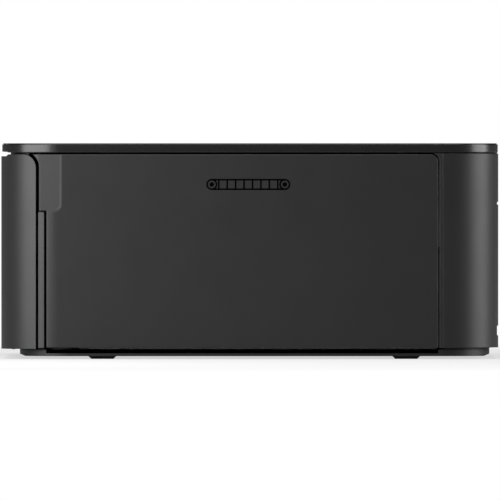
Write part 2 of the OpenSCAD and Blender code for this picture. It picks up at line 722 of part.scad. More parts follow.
module chassis_plate_left() color("#8d9093") difference() {
    union() {
        chassis_plate([plate_lx0, plate_lx1], plate_l_y1);
        rod([plate_lx1 - sliver, plate_lx1 + collar_l], supply_at, supply_r + clearance + 1.2);
        rod([plate_lx1 - sliver, plate_lx1 + collar_l], take_at, take_r + clearance + 1.2);
    }
    rod([plate_lx1, far], supply_at, supply_r + clearance);
    rod([plate_lx1, far], take_at, take_r + clearance);
    block([plate_lx1, far], [-far, far], [0, paper_z]);
    block([plate_lx1, far], [supply_at[0], take_at[0]], [0, band_z[1]]);
    shaft_holes([plate_lx0 - 1, plate_lx1 + 1]);
    rod([plate_lx0 - 1, far], take_at, bush_r);
    for (at = [idler_rear_at, idler_front_at, reduction_at]) rod([plate_lx0 - 1, plate_lx1 + 1], at, 1);
}

module chassis_plate_right() color("#8d9093") difference() {
    chassis_plate([plate_rx0, plate_rx1], plate_r_y1);
    rod([plate_rx0 - 1, plate_rx1 + 1], supply_at, supply_r + clearance);
    rod([plate_rx0 - 1, plate_rx1 + 1], take_at, take_r + clearance);
    block([plate_rx0 - 1, plate_rx1 + 1], [supply_at[0], take_at[0]], band_z);
    shaft_holes([plate_rx0 - 1, plate_rx1 + 1]);
}

module cross_shafts() color("#b9bcbf") {
    for (at = tie_places) rod([plate_lx0 - 1, plate_rx1 + 0.4], at, tie_r);
    rod([plate_lx0 - 1, plate_rx1 + 0.4], head_at, head_shaft_r);
}

module bush(x, at, flange_x) difference() {
    union() {
        rod(x, at, bush_r);
        rod(flange_x, at, bush_r + bush_lip);
    }
    rod([x[0] - 1, x[1] + 1], at, shaft_r + run_fit);
}

module roller_bearings() color("#d8c9a0") {
    for (at = [platen_at, feed_at, pickup_at, pinch_at]) {
        bush([plate_lx0 - bush_flange, plate_lx1], at, [plate_lx0 - bush_flange, plate_lx0]);
        bush([plate_rx0, plate_rx1 + 0.5], at, [plate_rx1, plate_rx1 + 0.5]);
    }
    bush([plate_lx0 - bush_flange, plate_lx1], take_at, [plate_lx0 - bush_flange, plate_lx0]);
}

module paper_bay() color("#3a3b3d") difference() {
    block([paper_x - bay_w / 2 - bay_t, paper_x + bay_w / 2 + bay_t], [frame_y1, bay_y1], [base_z1, bay_z1]);
    block([paper_x - bay_w / 2, paper_x + bay_w / 2], [frame_y1 - 1, bay_y1 - bay_t], [base_z1 + bay_t, far]);
    block([paper_x - bay_w / 2, paper_x + bay_w / 2], [-far, far], [pickup_at[1] - pickup_r - 2, far]);
    // room for the pickup shaft in the side walls
    for (x = [paper_x - bay_w / 2 - 2, paper_x + bay_w / 2 - 1]) block([x, x + 3],
        [pickup_at[0] - 4, far], [pickup_at[1] - 4, far]);
}

module paper_guide() color("#3a3b3d") difference() {
    y = [platen_at[0] + platen_r + 2, feed_at[0] - feed_r - 1, feed_at[0] + feed_r + 1,
        y_rear - panel_t - rear_flange - clearance];
    z = [paper_z - 1.6, paper_z - 0.6];
    rail = 1.5;
    rib_pitch = (paper_w - 4) / 8;
    x1 = plate_rx0 - 0.6;                    // the rear half clears the case post
    union() {
        block([plate_lx1, plate_rx0], [y[0], y[1]], z);
        block([plate_lx1 + 0.6, x1], [y[2], y[3]], z);
        for (x = [plate_lx1 + 0.6, x1 - rail]) block([x, x + rail], [y[0], y[3]], [z[0] - 0.9, z[1]]);
        for (i = [-4:4], part = [[y[0], y[1]], [y[2], y[3]]])
            block([paper_x + rib_pitch * i - 0.6, paper_x + rib_pitch * i + 0.6], part, [z[0] - 2.4, z[0] + sliver]);
    }
    rod([-far, far], feed_at, shaft_r + clearance);
}

module motor_bracket() color("#9a9da0") difference() {
    block([motor_face, bracket_x1], [ribbon_motor_at[0] - 12, plate_l_y1], [base_z1, chassis_z1 - 1.5]);
    rod([-far, 0], motor_at, motor_boss_r + run_fit);
    rod([-far, 0], ribbon_motor_at, ribbon_boss_r + run_fit);
    rod([-far, 0], reduction_at, 1);
    rod([-far, 0], take_at, shaft_r + run_fit);
}

module gear_post(at, x0) {
    rod([x0, plate_lx1], at, 1);
    rod([layer_a[1] + 0.3, plate_lx0], at, post_collar_r);
}

module gear_posts() color("#c3c6c9") {
    for (at = [idler_rear_at, idler_front_at]) {
        gear_post(at, layer_a[0] - 0.8);
        rod([layer_a[0] - 0.9, layer_a[0] - 0.3], at, 1.9);
    }
    gear_post(reduction_at, motor_face);
}

module feed_motor() color("#77797b") difference() {
    union() {
        rod([motor_face - motor_l, motor_face], motor_at, motor_r);
        rod([motor_face, motor_face + 1], motor_at, motor_boss_r);
        rod([motor_face - motor_l - 1, motor_face - motor_l], motor_at, 3);
    }
    rod([motor_face - motor_l + 2, far], motor_at, 1.05);
}

module ribbon_motor() color("#77797b") difference() {
    union() {
        rod([motor_face - ribbon_motor_l, motor_face], ribbon_motor_at, ribbon_motor_r);
        rod([motor_face, motor_face + 1], ribbon_motor_at, ribbon_boss_r);
    }
    rod([motor_face - ribbon_motor_l + 2, far], ribbon_motor_at, 0.8);
}

module fan_frame() color("#1f2021") {
    difference() {
        block([wall_x, wall_x + fan_t], [fan_at[0] - fan_w / 2, fan_at[0] + fan_w / 2],
            [fan_z0, fan_z0 + fan_w]);
        rod([-far, far], fan_at, fan_r);
    }
    difference() {
        union() {
            rod([wall_x + fan_t - 1.5, wall_x + fan_t], fan_at, 5);
            for (a = [30, 150, 270]) translate([wall_x + fan_t - 1.5, fan_at[0], fan_at[1]]) rotate([a, 0, 0])
                translate([0, 0, -1]) cube([1.5, fan_r + 0.5, 2]);
        }
        rod([-far, far], fan_at, fan_axle_r + run_fit);
    }
}

module fan_rotor() color("#2a2b2c") {
    x = [wall_x + 1, wall_x + fan_t - 2];
    rod(x, fan_at, 5);
    rod([x[1] - sliver, x[1] + 1.8], fan_at, fan_axle_r);
    for (i = [0:6]) translate([(x[0] + x[1]) / 2, fan_at[0], fan_at[1]]) rotate([i * 360 / 7, 0, 0])
        translate([0, 4.6, 0]) rotate([0, 90, 0]) fan_blade(x[1] - x[0] - 0.8);
}

// One blade, as a slanted plate
module fan_blade(w) {
    intersection() {
        translate([0, (fan_r - 5) / 2, 0]) rotate([0, 35, 0]) cube([1, fan_r - 5, w * 1.15], center = true);
        translate([0, 0, -w / 2]) cylinder(r = fan_r - 5.1, h = w);
    }
}

module board_plate() {
    block(main_x, main_y, [main_z0, main_z1]);
    block(tongue_x, [main_y[1] - 1, tongue_y1], [main_z0, main_z1]);
}

module main_board() color("#1f5a34") difference() {
    board_plate();
    for (p = standoffs) post(p, [0, far], 1.2);
}

module board_parts() color("#2c2d30") {
    x = main_x[0];
    y = main_y[0];
    block([x + 15, x + 26], [fan_at[0] - 4, fan_at[0] + 7], [main_z1, main_z1 + 1.4]);
    block([x + 15, x + 23], [fan_at[0] + 12, fan_at[0] + 20], [main_z1, main_z1 + 1]);
    for (i = [0:3]) post([x + 12 + 5 * i, main_y[1] - 13], [main_z1, main_z1 + 2.6], 1.8);
    block([x + 9, x + 18], [main_y[1] - 5, main_y[1] - 1], [main_z1, main_z1 + 2.4]);
    block([x + 23, x + 28], [y + 30, y + 42], [main_z1, main_z1 + 3]);
}

module card_socket() color("#a9acaf") {
    x = [-x_side + 0.3, -x_side + 27];
    difference() {
        block(x, card_y, card_z);
        block([x[0] - 1, x[1] - 3], [card_y[0] + 0.8, card_y[1] - 0.8], [card_z[0] + 0.6, card_z[1] - 0.6]);
    }
    for (y = [card_y[0], card_y[1] - 1]) block([x[0] + 10, x[1]], [y, y + 1], [main_z1, card_z[0]]);
}

module usb_a_socket() color("#b4b7ba") {
    x = [-x_side + 0.3, -x_side + 15];
    difference() {
        block(x, usb_a_y, [main_z1, usb_a_z1]);
        block([x[0] - 1, x[1] - 2], [usb_a_y[0] + 0.5, usb_a_y[1] - 0.5], [main_z1 + 0.5, usb_a_z1 - 0.5]);
    }
    block([x[0] + 1, x[1] - 1], [usb_a_y[0] + 1, usb_a_y[1] - 1], [usb_a_z1 - 2.9, usb_a_z1 - 1.2]);
}

module usb_c_socket() color("#b4b7ba") difference() {
    x = [-x_side + 0.3, -x_side + 9];
    block(x, usb_c_y, [main_z1, usb_c_z1]);
    block([x[0] - 1, x[1] - 2], [usb_c_y[0] + 0.4, usb_c_y[1] - 0.4], [main_z1 + 0.4, main_z1 + 1.2]);
    block([x[0] - 1, x[1] - 2], [usb_c_y[0] + 0.4, usb_c_y[1] - 0.4], [usb_c_z1 - 1.2, usb_c_z1 - 0.4]);
    for (y = [usb_c_y[0] + 0.4, usb_c_y[1] - 1.1]) block([x[0] - 1, x[1] - 2], [y, y + 0.7],
        [main_z1 + 0.4, usb_c_z1 - 0.4]);
}

module dc_jack() color("#1a1a1b") {
    y = [y_rear - panel_t - 12, y_rear - panel_t - 0.1];
    difference() {
        union() {
            block(jack_x, y, [main_z1, jack_z1]);
            translate([jack_at[0], y[1] - sliver, jack_at[1]]) rotate([-90, 0, 0]) cylinder(r = jack_r, h = panel_t);
        }
        translate([jack_at[0], y[0] + 2, jack_at[1]]) rotate([-90, 0, 0]) cylinder(r = 2.8, h = far);
    }
    translate([jack_at[0], y[0] + 1, jack_at[1]]) rotate([-90, 0, 0]) cylinder(r = 1, h = 11);
}

module control_board() color("#1f5a34") difference() {
    block(board_x, board_y, [board_z0, board_z1]);
    for (p = boss_places) post(p, [0, far], 1.2);
}

module key_switches() color("#c9ccd0") {
    for (p = [power_at, back_at, menu_at, zoom_out_at, zoom_in_at, pad_at]) key_switch(p);
    for (p = pad_legs) key_switch(p);
}

module key_switch(p) {
    block([p[0] - 1.7, p[0] + 1.7], [p[1] - 1.7, p[1] + 1.7], [board_z1, board_z1 + switch_h * 0.7]);
    post(p, [board_z1 + switch_h * 0.7 - sliver, board_z1 + switch_h], 0.9);
}

module case_screws() color("#3d3f42") for (p = post_places) difference() {
    union() {
        post(p, [post_step_z - 1.8, post_step_z], screw_head_r);
        post(p, [post_step_z - sliver, post_split_z + 7.5], screw_r - 0.05);
    }
    cross_slot(p, post_step_z - 1.8);
}

// Cross recess in a screw head that faces down, at height z
module cross_slot(p, z) {
    for (w = [[1.1, 0.25], [0.25, 1.1]])
        block([p[0] - w[0], p[0] + w[0]], [p[1] - w[1], p[1] + w[1]], [z - 1, z + 0.8]);
}

module chassis_screws() color("#8a8d90") {
    for (p = standoffs) {
        post(p, [main_z1, main_z1 + 1], 2);
        post(p, [base_z1 + 0.2, main_z1 + sliver], 1);
    }
    for (p = boss_places) {
        post(p, [board_z0 - 0.9, board_z0], 1.8);
        post(p, [board_z0 - sliver, board_z1 + 2.9], 0.8);
    }
}

module front_cover_pins() color("#b9bcbf") for (sx = [-1, 1])
    rod([sx * cover_hinge_x - cover_bracket_w / 2 - lug_w, sx * cover_hinge_x + cover_bracket_w / 2 + lug_w],
        [cover_y, cover_axis_z], cover_pin_r);

module front_cover() color("#2b2c2d") difference() {
    union() {
        difference() {
            intersection() {
                wall(0, panel_t, [cover_z0, panel_z1]);
                side_shape([y_front - 1, wing_y], [cover_z0, panel_z1], wing_r, [-far, far]);
            }
            finger_notch();
        }
        for (sx = [-1, 1], side = [-1, 1]) cover_lug(sx * cover_hinge_x + side * (cover_bracket_w + lug_w) / 2
            + side * clearance / 2);
    }
    for (sx = [-1, 1]) {
        rod([sx * cover_hinge_x - cover_hinge_w, sx * cover_hinge_x + cover_hinge_w], [cover_y, cover_axis_z],
            cover_pin_r + run_fit);
        rod([sx * cover_hinge_x - cover_bracket_w / 2 - clearance, sx * cover_hinge_x + cover_bracket_w / 2
            + clearance], [cover_y, cover_axis_z], lug_r + clearance);
    }
}

// Undercut along the top front edge that a finger pulls
module finger_notch() {
    ledge_z = lid_z0 - notch_h;
    drop = panel_z1 - ledge_z;
    translate([-far, 0, 0]) rotate([90, 0, 90]) linear_extrude(2 * far)
        polygon([[y_front - 1, ledge_z], [y_front + notch_d - notch_h, ledge_z],
            [y_front + notch_d - notch_h + drop + 1, ledge_z + drop + 1], [y_front - 1, ledge_z + drop + 1]]);
}

module cover_lug(x) {
    w = (lug_w - clearance) / 2;
    rod([x - w, x + w], [cover_y, cover_axis_z], lug_r);
    block([x - w, x + w], [y_front + panel_t - 1, cover_y], [cover_axis_z - 1.2, cover_axis_z + lug_r]);
}

module ink_door_pins() color("#b9bcbf") for (z = knuckle_zs)
    post([door_axis_x, door_axis_y], [z - bracket_h / 2 - knuckle_h, z + bracket_h / 2 + knuckle_h], door_pin_r);

module ink_door() color("#2e2f30") difference() {
    union() {
        intersection() {
            wall(0, panel_t, [panel_z0, panel_z1]);
            union() {
                side_shape([door_y0, door_y1], [panel_z0, panel_z1], door_r, [0, far]);
                block([0, far], [frame_y0 + tab_setback, door_y0 + 1], [recess_z, panel_z1]);
                door_tip();
            }
        }
        for (z = knuckle_zs, side = [-1, 1]) door_knuckle(z + side * (bracket_h + knuckle_h + clearance) / 2);
    }
    door_recess();
    for (z = knuckle_zs) {
        post([door_axis_x, door_axis_y], [z - bracket_h / 2 - clearance, z + bracket_h / 2 + clearance],
            knuckle_r + clearance);
        post([door_axis_x, door_axis_y], [z - bracket_h / 2 - knuckle_h - 1, z + bracket_h / 2 + knuckle_h + 1],
            door_pin_r + run_fit);
    }
}

module door_knuckle(z) {
    h = (knuckle_h - clearance) / 2;
    post([door_axis_x, door_axis_y], [z - h, z + h], knuckle_r);
}

// Pointed tip of the door that fills the place beside the front cover's rounded corner
module door_tip() {
    r = wing_r + seam + tab_setback;
    rotate([90, 0, 90]) linear_extrude(far) difference() {
        translate([wing_y - wing_r, panel_z1 - wing_r]) square([r + 1, wing_r]);
        translate([wing_y - wing_r, panel_z1 - wing_r]) circle(r = r);
    }
}

// Ramp that a fingertip pulls, cut into the door's front top corner
module door_recess() {
    r = 1.9;
    y0 = frame_y0 - wing_r;
    y1 = frame_y0 + recess_l;
    intersection() {
        translate([0, 0, recess_z - 1]) linear_extrude(far)
            polygon([[x_side - recess_depth, y0], [x_side - recess_depth, frame_y0 - 1], [x_side - 0.15, y1], [far, y1],
                [far, y0]]);
        rotate([90, 0, 90]) linear_extrude(far) {
            translate([y0, recess_z + r]) square([y1 - y0, far]);
            translate([y0, recess_z]) square([y1 - r - y0, far]);
            translate([y1 - r, recess_z + r]) circle(r = r);
        }
    }
}

module door_hinge_bracket() color("#8d9093") difference() {
    for (z = knuckle_zs) {
        block([plate_rx1, plate_rx1 + 1.5], [door_axis_y - 4.8, door_axis_y + clearance], [z - 5.4, z + 5.4]);
        block([plate_rx1, door_axis_x], [door_axis_y - knuckle_r, door_axis_y + clearance],
            [z - bracket_h / 2, z + bracket_h / 2]);
        post([door_axis_x, door_axis_y], [z - bracket_h / 2, z + bracket_h / 2], knuckle_r);
    }
    for (z = knuckle_zs) post([door_axis_x, door_axis_y], [z - bracket_h, z + bracket_h], door_pin_r);
}

module screen_pins() color("#b9bcbf") {
    rod([screen_x[0] - 1.3, screen_x[0] + 4], hinge_at, screen_pin_r);
    rod([screen_x[1] - 4, screen_x[1] + 1.3], hinge_at, screen_pin_r);
}

module screen_housing() color("#202122") difference() {
    union() {
        block(screen_x, [screen_y[0], hinge_at[0]], [screen_z0, body_h]);
        rod(screen_x, hinge_at, hinge_r);
    }
    block([glass_x[0] - 0.05, glass_x[1] + 0.05], [glass_y[0] - 0.05, glass_y[1] + 0.05], [body_h - glass_t, far]);
    block([glass_x[0] + 1.5, glass_x[1] - 1.5], [glass_y[0] + 1.5, glass_y[1] - 1.5], [body_h - lcd_depth, far]);
    rod([screen_x[0] - 1, screen_x[0] + 4.2], hinge_at, screen_pin_r + run_fit);
    rod([screen_x[1] - 4.2, screen_x[1] + 1], hinge_at, screen_pin_r + run_fit);
    // finger groove in the front edge
    translate([screen_mid, screen_y[0] - 5, screen_z0 - 1]) cylinder(r = 7, h = 3.6);
}

module screen_glass() color("#101214")
    block(glass_x, glass_y, [body_h - glass_t, body_h - 0.02]);

module lcd_module() color("#5b6068")
    block([glass_x[0] + 1.6, glass_x[1] - 1.6], [glass_y[0] + 1.6, glass_y[1] - 1.6],
        [body_h - lcd_depth, body_h - glass_t]);

module round_button(p, r) {
    post(p, [button_z0, button_z1], r);
    post(p, flange_z, r + flange_w);
}

module power_button() color("#3b3c3e") round_button(power_at, button_r);
module back_button() color("#3b3c3e") round_button(back_at, button_r);
module menu_button() color("#3b3c3e") round_button(menu_at, button_r);
module zoom_out_button() color("#3b3c3e") round_button(zoom_out_at, button_r);
module zoom_in_button() color("#3b3c3e") round_button(zoom_in_at, button_r);

// Ring on four legs, which press the switches under it
module direction_pad() color("#343537") {
    difference() {
        post(pad_at, [pad_z0, button_z1], pad_r);
        post(pad_at, [0, far], pad_gap_r);
    }
    for (p = pad_legs) {
        post(p, [button_z0, (pad_z0 + button_z1) / 2], pad_leg_r);
        post(p, flange_z, pad_leg_r + flange_w);
    }
}

module print_button() color("#4a4b4d") round_button(pad_at, print_r);

module platen_roller() {
    color("#1d1d1e") rod([paper_x - paper_w / 2 - 1, paper_x + paper_w / 2 + 1], platen_at, platen_r);
    color("#b9bcbf") rod([plate_lx0 - 1.4, plate_rx1 + 0.5], platen_at, shaft_r);
}

module feed_roller() {
    color("#9fa2a5") rod([paper_x - paper_w / 2, paper_x + paper_w / 2], feed_at, feed_r);
    color("#b9bcbf") rod([layer_a[0] - 0.2, plate_rx1 + 0.5], feed_at, shaft_r);
    color("#e4e1d6") gear(layer_a, feed_at, feed_teeth, 0, shaft_r - sliver);
}

module pinch_roller() {
    color("#1d1d1e") rod([paper_x - paper_w / 2 + 2, paper_x + paper_w / 2 - 2], pinch_at, pinch_r);
    color("#b9bcbf") rod([plate_lx0 - 1.4, plate_rx1 + 0.5], pinch_at, shaft_r);
}

module pickup_roller() {
    color("#1d1d1e") rod([paper_x - pickup_w / 2, paper_x + pickup_w / 2], pickup_at, pickup_r);
    color("#b9bcbf") rod([layer_a[0] - 0.2, plate_rx1 + 0.5], pickup_at, shaft_r);
    color("#e4e1d6") gear(layer_a, pickup_at, pickup_teeth, pickup_phase, shaft_r - sliver);
}

module motor_pinion() color("#c8a24a") {
    gear(layer_b, motor_at, pinion_teeth, pinion_phase, 0.95);
    rod([motor_face - motor_l + 2.2, layer_b[1]], motor_at, 1);
}

module reduction_gear() color("#e4e1d6") difference() {
    union() {
        gear(layer_b, reduction_at, big_teeth, reduction_phase, 1 + run_fit);
        gear([layer_b[1] - sliver, layer_a[1]], reduction_at, small_teeth, reduction_phase, 1 + run_fit);
    }
    rod([-far, far], reduction_at, 1 + run_fit);
}

module idler_gear_rear() color("#e4e1d6")
    gear(layer_a, idler_rear_at, idler_teeth, idler_rear_phase, 1 + run_fit);

module idler_gear_front() color("#e4e1d6")
    gear(layer_a, idler_front_at, idler_teeth, idler_front_phase, 1 + run_fit);

module ribbon_pinion() color("#c8a24a") {
    gear(layer_b, ribbon_motor_at, ribbon_pinion_teeth, ribbon_pinion_phase, 0.7);
    rod([motor_face - ribbon_motor_l + 2.2, layer_b[1]], ribbon_motor_at, 0.75);
}

module ribbon_drive() color("#e4e1d6") {
    gear(layer_b, take_at, ribbon_teeth, 0, shaft_r - sliver);
    rod([motor_face, plate_lx1 + 0.3], take_at, shaft_r);
    rod([plate_lx1 + 0.2, cassette_x0 + 4], take_at, dog_r);
    for (a = [0, 120, 240]) translate([plate_lx1 + 0.3, take_at[0], take_at[1]]) rotate([a, 0, 0])
        translate([0, 0, -0.3]) cube([cassette_x0 + 4 - plate_lx1 - 0.3, 2.1, 0.6]);
}

module print_head() color("#a6a9ac") {
    y = platen_at[0];
    z = paper_z;
    x = [paper_x - paper_w / 2 - 4, paper_x + paper_w / 2 + 4];
    difference() {
        union() {
            for (ax = [x[0], x[1] - arm_t]) {
                rod([ax, ax + arm_t], head_at, 3);
                block([ax, ax + arm_t], [head_at[0], y + 10], [z + 8, head_at[1] + 1]);
            }
            block(x, [y - 7, y + 10], [z + 8, z + 10.5]);
            for (i = [0:4]) block([x[0] + 3, x[1] - 3], [y - 6.5 + 3.8 * i, y - 5.5 + 3.8 * i], [z + 10.4, z + 15]);
            block([paper_x - paper_w / 2, paper_x + paper_w / 2], [y - 2, y + 7], [z + 5.5, z + 8.1]);
            block([paper_x - paper_w / 2, paper_x + paper_w / 2], [y + 1, y + 4.5], [z + 3.3, z + 5.6]);
        }
        rod([-far, far], head_at, head_shaft_r + run_fit);
    }
}

module ink_cassette() color("#4b4e52") difference() {
    union() {
        rod([cassette_x0, grip_x1], supply_at, supply_r);
        rod([cassette_x0, grip_x1], take_at, take_r);
        block([cassette_x0, cassette_x0 + 2], [supply_at[0], take_at[0]], rail_z);
        block([grip_x0, grip_x1], [supply_at[0], take_at[0]], [rail_z[0], spool_z + 6]);
    }
    spool_room(supply_at, supply_r);
    spool_room(take_at, take_r);
    rod([cassette_x0 - 1, grip_x1 - 1.2], supply_at, journal_r + run_fit);
    rod([cassette_x0 - 1, grip_x1 - 1.2], take_at, journal_r + run_fit);
    // slots that the film leaves by
    block([film_x[0] - 1, film_x[1] + 1], [supply_at[0], supply_at[0] + supply_r + 1],
        [film_z - 0.4, film_z + 0.6]);
    block([film_x[0] - 1, film_x[1] + 1], [take_at[0] - take_r - 1, take_at[0] - 1], [film_z - 0.4, film_z + 1.3]);
    // finger grip in the outer end
    block([grip_x1 - 1.8, far], [supply_at[0] + 16, take_at[0] - 16], [rail_z[0] + 3, spool_z + 3]);
}

// Room for a spool inside its tube
module spool_room(at, r) {
    rod([cassette_x0 + 1.5, grip_x0 - 1], at, r - tube_t);
}

module ink_film() color("#6b5a2e") block(film_x, [supply_at[0] + 3.5, take_at[0] - 3], [film_z, film_z + film_t]);

module spool(at, roll_r, flange_r) {
    rod([cassette_x0 - 0.2, grip_x1 - 1.4], at, journal_r);
    rod([film_x[0], film_x[1]], at, roll_r);
    for (x = [film_x[0] - 1.6, film_x[1] + 0.4]) rod([x, x + 1.2], at, flange_r);
}

module supply_spool() color("#7b6a3a") spool(supply_at, supply_r - tube_t - 1.6, supply_r - tube_t - 0.5);

module take_up_spool() color("#7b6a3a") difference() {
    spool(take_at, take_r - tube_t - 2.6, take_r - tube_t - 0.5);
    rod([-far, cassette_x0 + 5], take_at, dog_r + 0.75);
}

base_tray();
rubber_feet();
outer_shell();
rear_panel();
front_frame();
top_cover();
chassis_plate_left();
chassis_plate_right();
cross_shafts();
roller_bearings();
paper_bay();
paper_guide();
motor_bracket();
gear_posts();
feed_motor();
ribbon_motor();
fan_frame();
main_board();
board_parts();
card_socket();
usb_a_socket();
usb_c_socket();
dc_jack();
control_board();
key_switches();
case_screws();
chassis_screws();
front_cover_pins();
ink_door_pins();
door_hinge_bracket();
screen_pins();
front_cover();
ink_door();
screen_housing();
screen_glass();
lcd_module();
power_button();
back_button();
menu_button();
zoom_out_button();
zoom_in_button();
direction_pad();
print_button();
platen_roller();
feed_roller();
pinch_roller();
pickup_roller();
motor_pinion();
reduction_gear();
idler_gear_rear();
idler_gear_front();
ribbon_pinion();
ribbon_drive();
print_head();
ink_cassette();
ink_film();
supply_spool();
take_up_spool();
fan_rotor();
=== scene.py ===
import math

import bmesh
import bpy
from mathutils import Matrix, Vector


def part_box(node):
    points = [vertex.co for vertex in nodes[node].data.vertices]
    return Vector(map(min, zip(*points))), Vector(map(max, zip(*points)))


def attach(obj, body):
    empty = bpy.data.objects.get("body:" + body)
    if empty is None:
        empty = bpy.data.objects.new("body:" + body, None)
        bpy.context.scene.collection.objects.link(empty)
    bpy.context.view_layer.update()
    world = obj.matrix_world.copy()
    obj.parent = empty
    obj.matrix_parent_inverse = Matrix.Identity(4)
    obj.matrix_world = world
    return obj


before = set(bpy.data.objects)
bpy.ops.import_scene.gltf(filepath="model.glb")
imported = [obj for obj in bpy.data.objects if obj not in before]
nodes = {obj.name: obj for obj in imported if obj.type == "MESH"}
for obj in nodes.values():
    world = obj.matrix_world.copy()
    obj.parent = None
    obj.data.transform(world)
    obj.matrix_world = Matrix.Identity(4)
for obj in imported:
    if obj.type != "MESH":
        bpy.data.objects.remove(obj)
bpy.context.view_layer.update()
scene = bpy.context.scene
scene.view_settings.view_transform = "Standard"
mm = 0.001
print("frame loaded with", len(nodes), "nodes")


def addNode(tree, kind, **settings):
    node = tree.nodes.new(kind)
    for key, value in settings.items():
        setattr(node, key, value)
    return node


def mathNode(tree, operation, first, second=None, clamp=False):
    node = addNode(tree, "ShaderNodeMath", operation=operation, use_clamp=clamp)
    for socket, value in zip(node.inputs, (first, second)):
        if isinstance(value, (int, float)):
            socket.default_value = value
        elif value is not None:
            tree.links.new(value, socket)
    return node.outputs[0]


def mixColour(tree, blend, factor, first, second):
    node = addNode(tree, "ShaderNodeMix", data_type="RGBA", blend_type=blend)
    for index, value in ((0, factor), (6, first), (7, second)):
        socket = node.inputs[index]
        if isinstance(value, (int, float)):
            socket.default_value = value
        elif isinstance(value, (tuple, list)):
            socket.default_value = (*value, 1)
        else:
            tree.links.new(value, socket)
    return node.outputs[2]


def newGroup(name, inputs, outputs):
    tree = bpy.data.node_groups.new(name, "ShaderNodeTree")
    kinds = {"value": "NodeSocketFloat", "colour": "NodeSocketColor", "vector": "NodeSocketVector"}
    for label, kind, default in inputs:
        socket = tree.interface.new_socket(label, in_out="INPUT", socket_type=kinds[kind])
        if kind != "vector":
            socket.default_value = (*default, 1) if kind == "colour" else default
    for label, kind in outputs:
        tree.interface.new_socket(label, in_out="OUTPUT", socket_type=kinds[kind])
    start, end = tree.nodes.new("NodeGroupInput"), tree.nodes.new("NodeGroupOutput")
    return tree, start.outputs, end.inputs


def noise(tree, vector, scale, detail=2, roughness=0.5):
    node = addNode(tree, "ShaderNodeTexNoise")
    node.inputs["Detail"].default_value = detail
    node.inputs["Roughness"].default_value = roughness
    tree.links.new(vector, node.inputs["Vector"])
    if isinstance(scale, (int, float)):
        node.inputs["Scale"].default_value = scale
    else:
        tree.links.new(scale, node.inputs["Scale"])
    return node.outputs["Fac"]


# pattern sizes are cells per metre; an edge's gain sets how quickly the wear starts beside it
patterns = {"broad": 38, "patch": 120, "wear": 260, "dust": 90, "stain": 30, "edgeGain": 6.0, "dustSlope": 0.2,
    "dustRoughening": 2.0}


# moulded grain: fine pits of the mould's texture, with broad uneven patches in tone and gloss
def makeMouldedGrain():
    tree, given, made = newGroup("mouldedGrain",
        [("Vector", "vector", None), ("Colour", "colour", (0.02, 0.02, 0.02)), ("Tone Change", "value", 0.1),
         ("Grain Scale", "value", 4000.0), ("Roughness", "value", 0.45), ("Gloss Change", "value", 0.06)],
        [("Colour", "colour"), ("Roughness", "value"), ("Height", "value")])
    fine = noise(tree, given["Vector"], given["Grain Scale"], 3, 0.55)
    broad = noise(tree, given["Vector"], patterns["broad"], 3, 0.5)
    patch = noise(tree, given["Vector"], patterns["patch"], 2, 0.5)
    tone = mathNode(tree, "MULTIPLY_ADD", mathNode(tree, "SUBTRACT", broad, 0.5), given["Tone Change"])
    tone.node.inputs[2].default_value = 1
    speck = mathNode(tree, "MULTIPLY_ADD", mathNode(tree, "SUBTRACT", fine, 0.5), given["Tone Change"])
    speck.node.inputs[2].default_value = 1
    both = mathNode(tree, "MULTIPLY", tone, speck)
    grey = addNode(tree, "ShaderNodeCombineColor")
    for socket in grey.inputs:
        tree.links.new(both, socket)
    tree.links.new(mixColour(tree, "MULTIPLY", 1.0, given["Colour"], grey.outputs[0]), made["Colour"])
    gloss = mathNode(tree, "MULTIPLY_ADD", mathNode(tree, "SUBTRACT", patch, 0.5), given["Gloss Change"])
    tree.links.new(given["Roughness"], gloss.node.inputs[2])
    tree.links.new(gloss, made["Roughness"])
    tree.links.new(fine, made["Height"])
    return tree


# soft edges: the small radius that every moulded or cut edge has, and where handling has polished it
def makeSoftEdge():
    tree, given, made = newGroup("softEdge",
        [("Radius", "value", 0.0003), ("Colour", "colour", (0.02, 0.02, 0.02)),
         ("Worn Colour", "colour", (0.05, 0.05, 0.05)), ("Wear", "value", 0.3), ("Vector", "vector", None)],
        [("Normal", "vector"), ("Colour", "colour")])
    bevel = addNode(tree, "ShaderNodeBevel", samples=6)
    tree.links.new(given["Radius"], bevel.inputs["Radius"])
    shape = addNode(tree, "ShaderNodeNewGeometry")
    dot = addNode(tree, "ShaderNodeVectorMath", operation="DOT_PRODUCT")
    tree.links.new(bevel.outputs[0], dot.inputs[0])
    tree.links.new(shape.outputs["Normal"], dot.inputs[1])
    bend = mathNode(tree, "SUBTRACT", 1.0, dot.outputs["Value"])
    edge = mathNode(tree, "MULTIPLY", bend, patterns["edgeGain"], clamp=True)
    broken = mathNode(tree, "MULTIPLY", edge, noise(tree, given["Vector"], patterns["wear"], 3, 0.6))
    amount = mathNode(tree, "MULTIPLY", broken, given["Wear"], clamp=True)
    tree.links.new(bevel.outputs[0], made["Normal"])
    tree.links.new(mixColour(tree, "MIX", amount, given["Colour"], given["Worn Colour"]), made["Colour"])
    return tree


